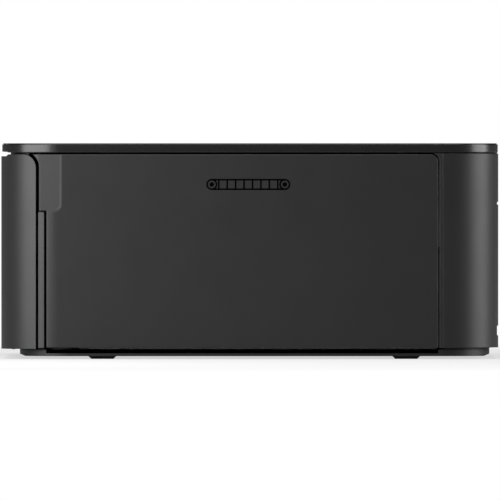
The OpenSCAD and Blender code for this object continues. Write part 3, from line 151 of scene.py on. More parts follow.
# settled dust: a thin grey film on faces that look up
def makeSettledDust():
    tree, given, made = newGroup("settledDust",
        [("Vector", "vector", None), ("Colour", "colour", (0.02, 0.02, 0.02)), ("Roughness", "value", 0.45),
         ("Dust Colour", "colour", (0.35, 0.34, 0.32)), ("Amount", "value", 0.03)],
        [("Colour", "colour"), ("Roughness", "value")])
    shape = addNode(tree, "ShaderNodeNewGeometry")
    split = addNode(tree, "ShaderNodeSeparateXYZ")
    tree.links.new(shape.outputs["Normal"], split.inputs[0])
    up = mathNode(tree, "SUBTRACT", split.outputs["Z"], patterns["dustSlope"], clamp=True)
    patchy = noise(tree, given["Vector"], patterns["dust"], 4, 0.65)
    amount = mathNode(tree, "MULTIPLY", mathNode(tree, "MULTIPLY", up, patchy), given["Amount"])
    tree.links.new(mixColour(tree, "MIX", amount, given["Colour"], given["Dust Colour"]), made["Colour"])
    dulled = mathNode(tree, "MULTIPLY", amount, patterns["dustRoughening"])
    tree.links.new(mathNode(tree, "ADD", given["Roughness"], dulled), made["Roughness"])
    return tree


# drawn metal: fine lines along the way the vector is stretched
def makeDrawnMetal():
    tree, given, made = newGroup("drawnMetal",
        [("Vector", "vector", None), ("Colour", "colour", (0.6, 0.6, 0.6)), ("Line Scale", "value", 900.0),
         ("Roughness", "value", 0.3), ("Gloss Change", "value", 0.2), ("Tone Change", "value", 0.25)],
        [("Colour", "colour"), ("Roughness", "value"), ("Height", "value")])
    lines = noise(tree, given["Vector"], given["Line Scale"], 4, 0.7)
    stain = noise(tree, given["Vector"], patterns["stain"], 3, 0.5)
    both = mathNode(tree, "ADD", mathNode(tree, "SUBTRACT", lines, 0.5), mathNode(tree, "SUBTRACT", stain, 0.5))
    tone = mathNode(tree, "MULTIPLY_ADD", both, given["Tone Change"])
    tone.node.inputs[2].default_value = 1
    grey = addNode(tree, "ShaderNodeCombineColor")
    for socket in grey.inputs:
        tree.links.new(tone, socket)
    tree.links.new(mixColour(tree, "MULTIPLY", 1.0, given["Colour"], grey.outputs[0]), made["Colour"])
    gloss = mathNode(tree, "MULTIPLY_ADD", both, given["Gloss Change"])
    tree.links.new(given["Roughness"], gloss.node.inputs[2])
    tree.links.new(gloss, made["Roughness"])
    tree.links.new(lines, made["Height"])
    return tree


# inside a box: 1 between the two corners, 0 outside
def makeBoxMask():
    tree, given, made = newGroup("boxMask", [("Vector", "vector", None), ("Low Corner", "vector", None),
        ("High Corner", "vector", None)], [("Mask", "value")])
    parts = []
    for label in ("Vector", "Low Corner", "High Corner"):
        split = addNode(tree, "ShaderNodeSeparateXYZ")
        tree.links.new(given[label], split.inputs[0])
        parts.append(split.outputs)
    mask = None
    for here, low, high in zip(*parts):
        above, below = mathNode(tree, "GREATER_THAN", here, low), mathNode(tree, "LESS_THAN", here, high)
        inside = mathNode(tree, "MULTIPLY", above, below)
        mask = inside if mask is None else mathNode(tree, "MULTIPLY", mask, inside)
    tree.links.new(mask, made["Mask"])
    return tree


# distance from an axis along X, to tell a shaft from what is on it
def makeShaftMask():
    tree, given, made = newGroup("shaftMask", [("Vector", "vector", None), ("Axis", "vector", None),
        ("Radius", "value", 0.0022)], [("Outside", "value"), ("Distance", "value")])
    away = addNode(tree, "ShaderNodeVectorMath", operation="SUBTRACT")
    tree.links.new(given["Vector"], away.inputs[0])
    tree.links.new(given["Axis"], away.inputs[1])
    flat = addNode(tree, "ShaderNodeVectorMath", operation="MULTIPLY")
    tree.links.new(away.outputs[0], flat.inputs[0])
    flat.inputs[1].default_value = (0, 1, 1)
    length = addNode(tree, "ShaderNodeVectorMath", operation="LENGTH")
    tree.links.new(flat.outputs[0], length.inputs[0])
    tree.links.new(mathNode(tree, "GREATER_THAN", length.outputs["Value"], given["Radius"]), made["Outside"])
    tree.links.new(length.outputs["Value"], made["Distance"])
    return tree


# board traces: fine copper runs under the green resist, and tinned vias
copperRuns = {"Scale": 330.0, "Mortar Size": 0.035, "Mortar Smooth": 0.1, "Brick Width": 1.6, "Row Height": 0.5}
vias = {"scale": 260, "scatter": 0.55, "radius": 0.13}


def makeBoardTraces():
    tree, given, made = newGroup("boardTraces",
        [("Vector", "vector", None), ("Resist", "colour", (0.01, 0.08, 0.03)), ("Trace", "colour", (0.03, 0.16, 0.06)),
         ("Tin", "colour", (0.6, 0.6, 0.58))], [("Colour", "colour"), ("Height", "value"), ("Metal", "value")])
    runs = addNode(tree, "ShaderNodeTexBrick", offset=0.37, squash=0.6)
    for label, value in copperRuns.items():
        runs.inputs[label].default_value = value
    tree.links.new(given["Vector"], runs.inputs["Vector"])
    spots = addNode(tree, "ShaderNodeTexVoronoi", feature="F1")
    spots.inputs["Scale"].default_value = vias["scale"]
    spots.inputs["Randomness"].default_value = vias["scatter"]
    tree.links.new(given["Vector"], spots.inputs["Vector"])
    via = mathNode(tree, "LESS_THAN", spots.outputs["Distance"], vias["radius"])
    traced = mixColour(tree, "MIX", runs.outputs["Fac"], given["Resist"], given["Trace"])
    tree.links.new(mixColour(tree, "MIX", via, traced, given["Tin"]), made["Colour"])
    tree.links.new(mathNode(tree, "ADD", runs.outputs["Fac"], via), made["Height"])
    tree.links.new(via, made["Metal"])
    return tree


mouldedGrain, softEdge = makeMouldedGrain(), makeSoftEdge()
settledDust, drawnMetal = makeSettledDust(), makeDrawnMetal()
boxMask, shaftMask, boardTraces = makeBoxMask(), makeShaftMask(), makeBoardTraces()
print("shader groups made:", len(bpy.data.node_groups))


def startMaterial(name, specular=0.5, metallic=0.0):
    material = bpy.data.materials.new(name)
    material.use_nodes = True
    tree = material.node_tree
    shader = tree.nodes["Principled BSDF"]
    shader.inputs["Specular IOR Level"].default_value = specular
    shader.inputs["Metallic"].default_value = metallic
    place = addNode(tree, "ShaderNodeTexCoord")
    return material, tree, shader, place.outputs["Object"]


def useGroup(tree, group, **values):
    node = addNode(tree, "ShaderNodeGroup", node_tree=group)
    for label, value in values.items():
        socket = node.inputs["".join(" " + c if c.isupper() else c for c in label).title()]
        if isinstance(value, (int, float)):
            socket.default_value = value
        elif isinstance(value, (tuple, list)):
            socket.default_value = value if socket.type == "VECTOR" else (*value, 1)
        else:
            tree.links.new(value, socket)
    return node


def anyBox(tree, place, corners):
    mask = None
    for low, high in corners:
        inside = useGroup(tree, boxMask, vector=place, lowCorner=low, highCorner=high).outputs["Mask"]
        mask = inside if mask is None else mathNode(tree, "MAXIMUM", mask, inside)
    return mask


# gives the surface its fine relief, on top of the rounded edges where it has them
def addRelief(tree, shader, height, strength, depth, edge=None):
    bump = addNode(tree, "ShaderNodeBump")
    bump.inputs["Strength"].default_value = strength
    bump.inputs["Distance"].default_value = depth
    tree.links.new(height, bump.inputs["Height"])
    if edge is not None:
        tree.links.new(edge.outputs["Normal"], bump.inputs["Normal"])
    tree.links.new(bump.outputs[0], shader.inputs["Normal"])


usualPlastic = {"specular": 0.5, "toneChange": 0.16, "grainSize": 0.00025, "glossChange": 0.08, "edge": 0.00025,
    "wear": 0.35, "dust": 0.02, "grainStrength": 0.25, "grainDepth": 0.00002}
usualMetal = {"stretch": (1, 1, 0.04), "lineScale": 2500.0, "glossChange": 0.18, "toneChange": 0.2, "edge": 0.0002,
    "wear": 0.6, "lineStrength": 0.2, "lineDepth": 0.00001}


def makePlastic(name, given):
    values = {**usualPlastic, **given}
    material, tree, shader, place = startMaterial(name, values["specular"])
    grain = useGroup(tree, mouldedGrain, vector=place, colour=values["colour"], toneChange=values["toneChange"],
        grainScale=1 / values["grainSize"], roughness=values["roughness"], glossChange=values["glossChange"])
    edge = useGroup(tree, softEdge, radius=values["edge"], colour=grain.outputs["Colour"],
        wornColour=tuple(1.8 * c + 0.01 for c in values["colour"]), wear=values["wear"], vector=place)
    dust = useGroup(tree, settledDust, vector=place, colour=edge.outputs["Colour"],
        roughness=grain.outputs["Roughness"], amount=values["dust"])
    addRelief(tree, shader, grain.outputs["Height"], values["grainStrength"], values["grainDepth"], edge)
    colour = dust.outputs["Colour"]
    # painted shade: inside these boxes the colour is painted black and the surface made fully metallic, so these gaps
    # render dark under any light
    if "paintedShade" in values:  # painted shade: deep gaps painted black and metallic
        paintedShadeMask = anyBox(tree, place, values["paintedShade"])
        colour = mixColour(tree, "MIX", paintedShadeMask, colour, (0, 0, 0))
        tree.links.new(paintedShadeMask, shader.inputs["Metallic"])
    tree.links.new(colour, shader.inputs["Base Color"])
    tree.links.new(dust.outputs["Roughness"], shader.inputs["Roughness"])
    return material


def makeMetal(name, given):
    values = {**usualMetal, **given}
    material, tree, shader, place = startMaterial(name, 0.5, 1.0)
    turn = addNode(tree, "ShaderNodeMapping")
    turn.inputs["Scale"].default_value = values["stretch"]
    tree.links.new(place, turn.inputs["Vector"])
    metal = useGroup(tree, drawnMetal, vector=turn.outputs[0], colour=values["colour"],
        lineScale=values["lineScale"], roughness=values["roughness"], glossChange=values["glossChange"],
        toneChange=values["toneChange"])
    edge = useGroup(tree, softEdge, radius=values["edge"], colour=metal.outputs["Colour"],
        wornColour=tuple(min(1, 1.2 * c + 0.03) for c in values["colour"]), wear=values["wear"], vector=place)
    addRelief(tree, shader, metal.outputs["Height"], values["lineStrength"], values["lineDepth"], edge)
    tree.links.new(edge.outputs["Colour"], shader.inputs["Base Color"])
    tree.links.new(metal.outputs["Roughness"], shader.inputs["Roughness"])
    return material


# the paintedShade boxes paint shade into gaps: the rear corner's ridge just under the lid, the fine groove beside the
# door's rear edge, the lid's skirt under its edge, and the slot in the base under the door
plastics = {
    "casePlastic": {"colour": (0.0065, 0.0065, 0.0066), "roughness": 0.43, "specular": 0.39,
        "paintedShade": [((-0.0912, 0.0515, 0.05487), (0.0912, 0.0668, 0.0553)),
            ((0.09082, 0.0511, 0.003), (0.09098, 0.0516, 0.0549))]},
    "doorPlastic": {"colour": (0.0065, 0.0065, 0.0066), "roughness": 0.43, "specular": 0.4, "edge": 0.0006},
    "lidPlastic": {"colour": (0.0035, 0.0035, 0.0036), "roughness": 0.27, "specular": 0.45, "edge": 0.00035,
        "dust": 0.006, "grainStrength": 0.08, "glossChange": 0.03, "toneChange": 0.08,
        "paintedShade": [((0.086, -0.07, 0.052), (0.0893, 0.07, 0.05513)), ((-0.0893, -0.07, 0.052), (-0.086, 0.07, 0.05513)),
            ((-0.09, -0.067, 0.052), (0.09, -0.0612, 0.05513)), ((-0.09, 0.0612, 0.052), (0.09, 0.067, 0.05513))]},
    "framePlastic": {"colour": (0.008, 0.008, 0.0081), "roughness": 0.45, "specular": 0.4},
    "basePlastic": {"colour": (0.005, 0.005, 0.0051), "roughness": 0.48, "specular": 0.35, "edge": 0.0001,
        "paintedShade": [((0.0872, -0.0544, 0.00152), (0.0889, 0.0505, 0.0027))]},
    "sealFoam": {"colour": (0.004, 0.004, 0.004), "roughness": 0.95, "specular": 0.05, "grainSize": 0.0005,
        "grainStrength": 0.8, "grainDepth": 0.00008, "wear": 0.0},
    "footRubber": {"colour": (0.012, 0.012, 0.012), "roughness": 0.8, "specular": 0.3},
    "buttonPlastic": {"colour": (0.02, 0.02, 0.0204), "roughness": 0.38},
    "screenPlastic": {"colour": (0.014, 0.014, 0.0142), "roughness": 0.3},
    "componentPlastic": {"colour": (0.02, 0.02, 0.021), "roughness": 0.5},
    "bearingPlastic": {"colour": (0.62, 0.57, 0.45), "roughness": 0.4},
    "gearPlastic": {"colour": (0.7, 0.7, 0.66), "roughness": 0.42},
    "cassettePlastic": {"colour": (0.022, 0.022, 0.023), "roughness": 0.45},
    "filmPlastic": {"colour": (0.12, 0.03, 0.06), "roughness": 0.25},
    "rollerRubber": {"colour": (0.03, 0.03, 0.032), "roughness": 0.75, "specular": 0.3},
    "printPale": {"colour": (0.5, 0.5, 0.5), "roughness": 0.5, "wear": 0.1, "edge": 0.00001, "dust": 0.0},
    "printBlack": {"colour": (0.0008, 0.0008, 0.0008), "roughness": 0.9, "specular": 0.02, "wear": 0.0, "edge": 0.00001,
        "dust": 0.0},
}
metals = {
    "sheetSteel": {"colour": (0.5, 0.51, 0.52), "roughness": 0.38},
    "shaftSteel": {"colour": (0.62, 0.63, 0.64), "roughness": 0.2, "stretch": (1, 0.05, 0.05)},
    "motorSteel": {"colour": (0.45, 0.46, 0.47), "roughness": 0.32},
    "socketSteel": {"colour": (0.6, 0.61, 0.62), "roughness": 0.28},
    "screwSteel": {"colour": (0.2, 0.2, 0.21), "roughness": 0.35},
    "pinionBrass": {"colour": (0.72, 0.5, 0.2), "roughness": 0.3},
    "headAluminium": {"colour": (0.6, 0.61, 0.62), "roughness": 0.4},
}
finishes = {name: makePlastic(name, values) for name, values in plastics.items()}
finishes.update({name: makeMetal(name, values) for name, values in metals.items()})

# rollers and spools: each is one piece with a shaft, a sleeve and sometimes a gear at its left end
rollers = {
    "platen_roller": {"shaft": 0.0021, "sleeve": (0.03, 0.03, 0.032), "sleeveRoughness": 0.72},
    "feed_roller": {"shaft": 0.0021, "sleeve": (0.42, 0.43, 0.44), "sleeveRoughness": 0.55, "sleeveMetal": 1.0},
    "pinch_roller": {"shaft": 0.0021, "sleeve": (0.035, 0.035, 0.037), "sleeveRoughness": 0.7},
    "pickup_roller": {"shaft": 0.0021, "sleeve": (0.05, 0.05, 0.052), "sleeveRoughness": 0.8},
    "supply_spool": {"shaft": 0.0, "sleeve": (0.16, 0.012, 0.05), "sleeveRoughness": 0.22, "wound": True},
    "take_up_spool": {"shaft": 0.0, "sleeve": (0.02, 0.05, 0.1), "sleeveRoughness": 0.24, "wound": True},
}
rollerEnds = {"steel": (0.6, 0.61, 0.62), "gear": (0.7, 0.7, 0.66), "core": (0.55, 0.55, 0.53), "gearEnd": -0.0389}
rollerGrain = {"toneChange": 0.25, "grainScale": 3200.0, "glossChange": 0.12}
rollerLook = {"filmMargin": 0.0004, "ringScale": 9000, "shaftPolish": 0.35, "edge": 0.0002, "wear": 0.2,
    "reliefStrength": 0.35, "reliefDepth": 0.00003}


def makeRollerFinish(name, values):
    material, tree, shader, place = startMaterial(name + "Finish")
    low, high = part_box(name)
    middle = tuple((low + high) / 2)
    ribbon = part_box("ink_film")
    grain = useGroup(tree, mouldedGrain, vector=place, colour=values["sleeve"],
        roughness=values["sleeveRoughness"], **rollerGrain)
    if values.get("wound"):  # film between the flanges, pale core beyond it
        across = useGroup(tree, boxMask, vector=place, lowCorner=(ribbon[0].x - rollerLook["filmMargin"], -1, -1),
            highCorner=(ribbon[1].x + rollerLook["filmMargin"], 1, 1)).outputs["Mask"]
        colour = mixColour(tree, "MIX", across, rollerEnds["core"], grain.outputs["Colour"])
        away = useGroup(tree, shaftMask, vector=place, axis=middle, radius=values["shaft"])
        rings = addNode(tree, "ShaderNodeTexNoise", noise_dimensions="1D")
        rings.inputs["Scale"].default_value = rollerLook["ringScale"]
        tree.links.new(away.outputs["Distance"], rings.inputs["W"])
        height = rings.outputs["Fac"]
        roughness = grain.outputs["Roughness"]
    else:
        outside = useGroup(tree, shaftMask, vector=place, axis=middle, radius=values["shaft"]).outputs["Outside"]
        atGear = useGroup(tree, boxMask, vector=place, lowCorner=(-1, -1, -1),
            highCorner=(rollerEnds["gearEnd"], 1, 1)).outputs["Mask"]
        onGear = mathNode(tree, "MULTIPLY", outside, atGear)
        colour = mixColour(tree, "MIX", outside, rollerEnds["steel"], grain.outputs["Colour"])
        colour = mixColour(tree, "MIX", onGear, colour, rollerEnds["gear"])
        bare = mathNode(tree, "SUBTRACT", 1.0, outside)
        metal = bare if "sleeveMetal" not in values else mathNode(tree, "SUBTRACT", 1.0, onGear)
        tree.links.new(metal, shader.inputs["Metallic"])
        polish = mathNode(tree, "MULTIPLY", bare, rollerLook["shaftPolish"])
        roughness = mathNode(tree, "SUBTRACT", grain.outputs["Roughness"], polish, clamp=True)
        height = grain.outputs["Height"]
    edge = useGroup(tree, softEdge, radius=rollerLook["edge"], colour=colour, wornColour=rollerEnds["core"],
        wear=rollerLook["wear"], vector=place)
    addRelief(tree, shader, height, rollerLook["reliefStrength"], rollerLook["reliefDepth"], edge)
    tree.links.new(edge.outputs["Colour"], shader.inputs["Base Color"])
    tree.links.new(roughness, shader.inputs["Roughness"])
    return material


# ribbon film: dye panels one after another along it, with a black index bar between two of them
film = {"panels": [(-0.04, (0.62, 0.5, 0.03)), (-0.0138, (0.5, 0.02, 0.12)), (0.0124, (0.01, 0.2, 0.5))],
    "barWidth": 0.0022, "barColour": (0.01, 0.01, 0.01), "roughness": 0.16, "waveScale": 70, "waveStrength": 0.15,
    "waveDepth": 0.00004}


def makeFilmFinish():
    material, tree, shader, place = startMaterial("filmFinish")
    colour = film["panels"][0][1]
    for start, panel in film["panels"][1:]:
        after = useGroup(tree, boxMask, vector=place, lowCorner=(-1, start, -1), highCorner=(1, 1, 1)).outputs["Mask"]
        colour = mixColour(tree, "MIX", after, colour, panel)
        bar = useGroup(tree, boxMask, vector=place, lowCorner=(-1, start - film["barWidth"] / 2, -1),
            highCorner=(1, start + film["barWidth"] / 2, 1)).outputs["Mask"]
        colour = mixColour(tree, "MIX", bar, colour, film["barColour"])
    grain = useGroup(tree, mouldedGrain, vector=place, colour=colour, toneChange=0.12, grainScale=900.0,
        roughness=film["roughness"], glossChange=0.1)
    addRelief(tree, shader, noise(tree, place, film["waveScale"], 2, 0.5), film["waveStrength"], film["waveDepth"])
    tree.links.new(grain.outputs["Colour"], shader.inputs["Base Color"])
    tree.links.new(grain.outputs["Roughness"], shader.inputs["Roughness"])
    return material


board = {"resist": (0.008, 0.075, 0.028), "trace": (0.022, 0.15, 0.055), "tin": (0.55, 0.55, 0.53), "roughness": 0.32,
    "cutEdge": (0.3, 0.32, 0.2), "reliefStrength": 0.4, "reliefDepth": 0.00004}


def makeBoardFinish():
    material, tree, shader, place = startMaterial("boardFinish")
    traces = useGroup(tree, boardTraces, vector=place, resist=board["resist"], trace=board["trace"],
        tin=board["tin"])
    grain = useGroup(tree, mouldedGrain, vector=place, colour=traces.outputs["Colour"], toneChange=0.15,
        grainScale=2200.0, roughness=board["roughness"], glossChange=0.1)
    edge = useGroup(tree, softEdge, radius=0.0001, colour=grain.outputs["Colour"], wornColour=board["cutEdge"],
        wear=0.5, vector=place)
    addRelief(tree, shader, traces.outputs["Height"], board["reliefStrength"], board["reliefDepth"], edge)
    tree.links.new(edge.outputs["Colour"], shader.inputs["Base Color"])
    tree.links.new(traces.outputs["Metal"], shader.inputs["Metallic"])
    tree.links.new(grain.outputs["Roughness"], shader.inputs["Roughness"])
    return material


finishes["boardResist"] = makeBoardFinish()
finishes["filmFinish"] = makeFilmFinish()


def makeScreenGlass(name, colour, roughness):
    material, tree, shader, place = startMaterial(name)
    grain = useGroup(tree, mouldedGrain, vector=place, colour=colour, toneChange=0.1, grainScale=300.0,
        roughness=roughness, glossChange=0.04)
    tree.links.new(grain.outputs["Colour"], shader.inputs["Base Color"])
    tree.links.new(grain.outputs["Roughness"], shader.inputs["Roughness"])
    return material


finishes["screenGlass"] = makeScreenGlass("screenGlass", (0.004, 0.004, 0.0045), 0.06)
finishes["pictureGlass"] = makeScreenGlass("pictureGlass", (0.012, 0.013, 0.015), 0.16)
finishes["lampLens"] = makeScreenGlass("lampLens", (0.12, 0.35, 0.16), 0.2)
slotFinish = {"base_plastic": "basePlastic", "foot_rubber": "footRubber", "case_plastic": "casePlastic",
    "frame_plastic": "framePlastic", "lid_plastic": "lidPlastic", "sheet_steel": "sheetSteel",
    "shaft_steel": "shaftSteel", "bearing_plastic": "bearingPlastic", "motor_steel": "motorSteel",
    "circuit_board": "boardResist",
    "component_plastic": "componentPlastic", "socket_steel": "socketSteel", "screw_steel": "screwSteel",
    "screen_plastic": "screenPlastic", "screen_glass": "screenGlass", "button_plastic": "buttonPlastic",
    "roller_rubber": "rollerRubber", "pinion_brass": "pinionBrass", "gear_plastic": "gearPlastic",
    "head_aluminium": "headAluminium", "cassette_plastic": "cassettePlastic", "film_plastic": "filmPlastic"}
for name, cadNode in nodes.items():
    for part in cadNode.material_slots:
        part.material = finishes[slotFinish[part.material.name]]
for name, values in rollers.items():
    for part in nodes[name].material_slots:
        part.material = makeRollerFinish(name, values)
nodes["ink_film"].material_slots[0].material = finishes["filmFinish"]
nodes["ink_door"].material_slots[0].material = finishes["doorPlastic"]
print("finishes given to", len(nodes), "nodes")


# flat shapes for printed marks, in millimetres on a plane, before they get their thickness and their place
def addBar(form, centre, length, width, turn=0.0):
    bmesh.ops.create_grid(form, x_segments=1, y_segments=1, size=0.5, matrix=Matrix.Translation((*centre, 0))
        @ Matrix.Rotation(math.radians(turn), 4, "Z") @ Matrix.Diagonal((length, width, 1, 1)))


def addDisc(form, centre, radius, corners=28, turn=0.0):
    bmesh.ops.create_circle(form, cap_ends=True, segments=corners, radius=radius,
        matrix=Matrix.Translation((*centre, 0)) @ Matrix.Rotation(math.radians(turn), 4, "Z"))


def addArc(form, centre, radius, width, start=0.0, sweep=360.0):
    turn = Matrix.Translation((*centre, 0)) @ Matrix.Rotation(math.radians(start), 4, "Z")
    ends = [form.verts.new(turn @ Vector((radius + side * width / 2, 0, 0))) for side in (-1, 1)]
    line = form.edges.new(ends)
    bmesh.ops.spin(form, geom=[line, *ends], cent=(*centre, 0), axis=(0, 0, 1), angle=math.radians(sweep),
        steps=max(8, round(sweep / 10)), use_merge=sweep == 360.0)


def makeObject(form, name, material):
    mesh = bpy.data.meshes.new(name)
    form.to_mesh(mesh)
    form.free()
    mesh.materials.append(material)
    made = bpy.data.objects.new(name, mesh)
    scene.collection.objects.link(made)
    return made


# how a mark's plane lies: on top of the lid its reading direction is +X, on the door it is +Y
onTop = Matrix.Identity(4)
onDoor = Matrix(((0, 0, 1, 0), (1, 0, 0, 0), (0, 1, 0, 0), (0, 0, 0, 1)))
markThickness = {"sink": 0.01, "rise": 0.02}


def placeMark(form, name, body, finish, at, facing, rise=markThickness["rise"]):
    form.normal_update()
    bmesh.ops.reverse_faces(form, faces=[face for face in form.faces if face.normal.z < 0])
    raised = bmesh.ops.extrude_face_region(form, geom=form.faces[:])
    bmesh.ops.translate(form, vec=(0, 0, rise + markThickness["sink"]),
        verts=[part for part in raised["geom"] if isinstance(part, bmesh.types.BMVert)])
    bmesh.ops.translate(form, vec=(0, 0, -markThickness["sink"]), verts=form.verts[:])
    bmesh.ops.transform(form, matrix=Matrix.Translation(at) @ facing @ Matrix.Scale(mm, 4), verts=form.verts[:])
    bmesh.ops.recalc_face_normals(form, faces=form.faces[:])
    made = makeObject(form, name, finishes[finish])
    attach(made, body)


# two spools with the film between them, printed on the ink door
spoolSign = {"middle": (-0.0004, 0.0466), "length": 22.5, "height": 3.0, "line": 0.46, "hub": 0.62, "panels": 8,
    "endGap": 0.6}


def makeSpoolSign():
    form = bmesh.new()
    radius = (spoolSign["height"] - spoolSign["line"]) / 2
    reach = spoolSign["length"] / 2 - spoolSign["height"] / 2
    for side in (-1, 1):
        addArc(form, (side * reach, 0), radius, spoolSign["line"])
        addDisc(form, (side * reach, 0), spoolSign["hub"])
    for side in (-1, 1):
        addBar(form, (0, side * radius), 2 * reach, spoolSign["line"])
    span = 2 * (reach - radius - spoolSign["endGap"])
    for step in range(spoolSign["panels"]):
        addBar(form, (-span / 2 + span * step / (spoolSign["panels"] - 1), 0), spoolSign["line"], 2 * radius)
    across, up = spoolSign["middle"]
    placeMark(form, "spoolSign", "ink_door", "printBlack", (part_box("ink_door")[1].x, across, up),
        onDoor)


makeSpoolSign()

# symbols on the keys
keySign = {"line": 0.34, "fineLine": 0.26, "handle": 0.45, "powerRadius": 1.5, "lensRadius": 1.05,
    "triangle": 1.1, "padRadius": 9.9}


def topOf(name):
    low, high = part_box(name)
    return ((low.x + high.x) / 2, (low.y + high.y) / 2, high.z)


def powerShape(form):
    addArc(form, (0, -0.1), keySign["powerRadius"], keySign["line"], 120, 300)
    addBar(form, (0, 1.05), keySign["line"], 1.7)


def backShape(form):
    addArc(form, (0.1, 0), 1.15, keySign["line"], -90, 180)
    addBar(form, (-0.55, 1.15), 1.3, keySign["line"])
    addBar(form, (-0.35, -1.15), 0.9, keySign["line"])
    addDisc(form, (-1.35, 1.15), 0.7, 3, 180)


def menuShape(form):
    for up in (-0.95, 0, 0.95):
        addBar(form, (0.35, up), 2.6, keySign["line"])
        addDisc(form, (-1.55, up), 0.24, 12)


def lensShape(form, grows):
    addArc(form, (-0.3, 0.35), keySign["lensRadius"], keySign["line"])
    addBar(form, (0.95, -0.9), 1.35, keySign["handle"], -45)
    addBar(form, (-0.3, 0.35), 1.05, keySign["fineLine"])
    if grows:
        addBar(form, (-0.3, 0.35), keySign["fineLine"], 1.05)


def padShape(form):
    for turn in (0, 90, 180, 270):
        way = math.radians(turn)
        centre = (keySign["padRadius"] * math.cos(way), keySign["padRadius"] * math.sin(way))
        addDisc(form, centre, keySign["triangle"], 3, turn)


def printShape(form):
    for side in (-1, 1):
        addBar(form, (side * 1.5, -0.35), keySign["line"], 1.6)
    addBar(form, (0, 0.45), 3.34, keySign["line"])
    addBar(form, (0, -1.15), 3.34, keySign["line"])
    for side in (-1, 1):
        addBar(form, (side * 0.85, 1.25), keySign["line"], 1.3)
    addBar(form, (0, 1.9), 2.04, keySign["line"])
    addBar(form, (0, -0.35), 1.5, keySign["fineLine"])


keyShapes = {"power_button": powerShape, "back_button": backShape, "menu_button": menuShape,
    "zoom_out_button": lambda form: lensShape(form, False), "zoom_in_button": lambda form: lensShape(form, True),
    "direction_pad": padShape, "print_button": printShape}
for keyName, shape in keyShapes.items():
    form = bmesh.new()
    shape(form)
    placeMark(form, keyName + "Sign", keyName, "printPale", topOf(keyName), onTop)

# picture area of the display, seen through its glass
picture = {"width": 62.0, "height": 37.0, "corner": 0.6, "rise": 0.012}


def makePictureArea():
    form = bmesh.new()
    addBar(form, (0, 0), picture["width"], picture["height"])
    bmesh.ops.bevel(form, geom=form.verts[:], offset=picture["corner"], offset_type="OFFSET", affect="VERTICES",
        segments=4, profile=0.5, material=-1)
    low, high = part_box("screen_glass")
    middle = ((low.x + high.x) / 2, (low.y + high.y) / 2, high.z)
    placeMark(form, "pictureArea", "screen", "pictureGlass", middle, onTop, picture["rise"])


makePictureArea()

# small light in the power button
powerLens = {"radius": 0.75, "height": 0.12, "back": 3.0, "rings": 4, "steps": 24}


def makePowerLight():
    form = bmesh.new()
    rings = [form.verts.new((0, 0, powerLens["height"]))]
    for step in range(1, powerLens["rings"] + 1):
        way = step * math.pi / (2 * powerLens["rings"])
        rings.append(form.verts.new((powerLens["radius"] * math.sin(way), 0, powerLens["height"] * math.cos(way))))
    lines = [form.edges.new(pair) for pair in zip(rings, rings[1:])]
    bmesh.ops.spin(form, geom=[*lines, *rings], cent=(0, 0, 0), axis=(0, 0, 1), angle=math.radians(360),
        steps=powerLens["steps"], use_merge=True)
    bmesh.ops.remove_doubles(form, verts=form.verts[:], dist=0.0001)
    bmesh.ops.holes_fill(form, edges=[edge for edge in form.edges if edge.is_boundary])
    x, y, top = topOf("power_button")
    seat = Matrix.Translation((x, y + powerLens["back"] * mm, top))
    bmesh.ops.transform(form, matrix=seat @ Matrix.Scale(mm, 4), verts=form.verts[:])
    bmesh.ops.recalc_face_normals(form, faces=form.faces[:])
    for face in form.faces:
        face.smooth = True
    made = makeObject(form, "powerLight", finishes["lampLens"])
    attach(made, "power_button")


makePowerLight()
print("marks made:", len(keyShapes) + 3)

# foam strips on the base behind the front cover's two ends, which keep light out of the seam
seal = {"length": 5.5, "width": 1.4, "height": 2.6, "inset": 5.7, "gap": 0.06, "round": 0.2, "sink": 0.15}


def makeLightSeal(name, side):
    low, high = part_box("front_frame")
    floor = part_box("front_cover")[0].z - seal["sink"] * mm
    form = bmesh.new()
    bmesh.ops.create_cube(form, size=1, matrix=Matrix.Diagonal((seal["length"], seal["width"], seal["height"], 1)))
    bmesh.ops.bevel(form, geom=form.edges[:], offset=seal["round"], offset_type="OFFSET", affect="EDGES", segments=2,
        profile=0.5, material=-1)
    middle = Vector((side * (high.x - (seal["inset"] + seal["length"] / 2) * mm),
        low.y - (seal["gap"] + seal["width"] / 2) * mm, floor + seal["height"] / 2 * mm))
    bmesh.ops.transform(form, matrix=Matrix.Translation(middle) @ Matrix.Scale(mm, 4), verts=form.verts[:])
    made = makeObject(form, name, finishes["sealFoam"])
    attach(made, "root")


makeLightSeal("lightSealRight", 1)
makeLightSeal("lightSealLeft", -1)
print("light seals made")

# the floor lies a hair under the feet, so that the two surfaces don't share one plane
studio = {"floorSize": 9.0, "floorHeight": -0.00005, "floorColour": (0.5, 0.5, 0.5), "floorShare": 0.6,
    "whiteFrom": (0.2, 0.45), "glossShare": 0.3, "roomGrey": 0.06}


# how much of its plain white a ray finds: all of it straight or through glass, a share of it in a reflection
def seenShare(tree, glossShare):
    path = addNode(tree, "ShaderNodeLightPath")
    straight = mathNode(tree, "MAXIMUM", path.outputs["Is Camera Ray"], path.outputs["Is Transmission Ray"])
    mirrored = mathNode(tree, "MULTIPLY", path.outputs["Is Glossy Ray"], glossShare)
    return mathNode(tree, "MAXIMUM", straight, mirrored)


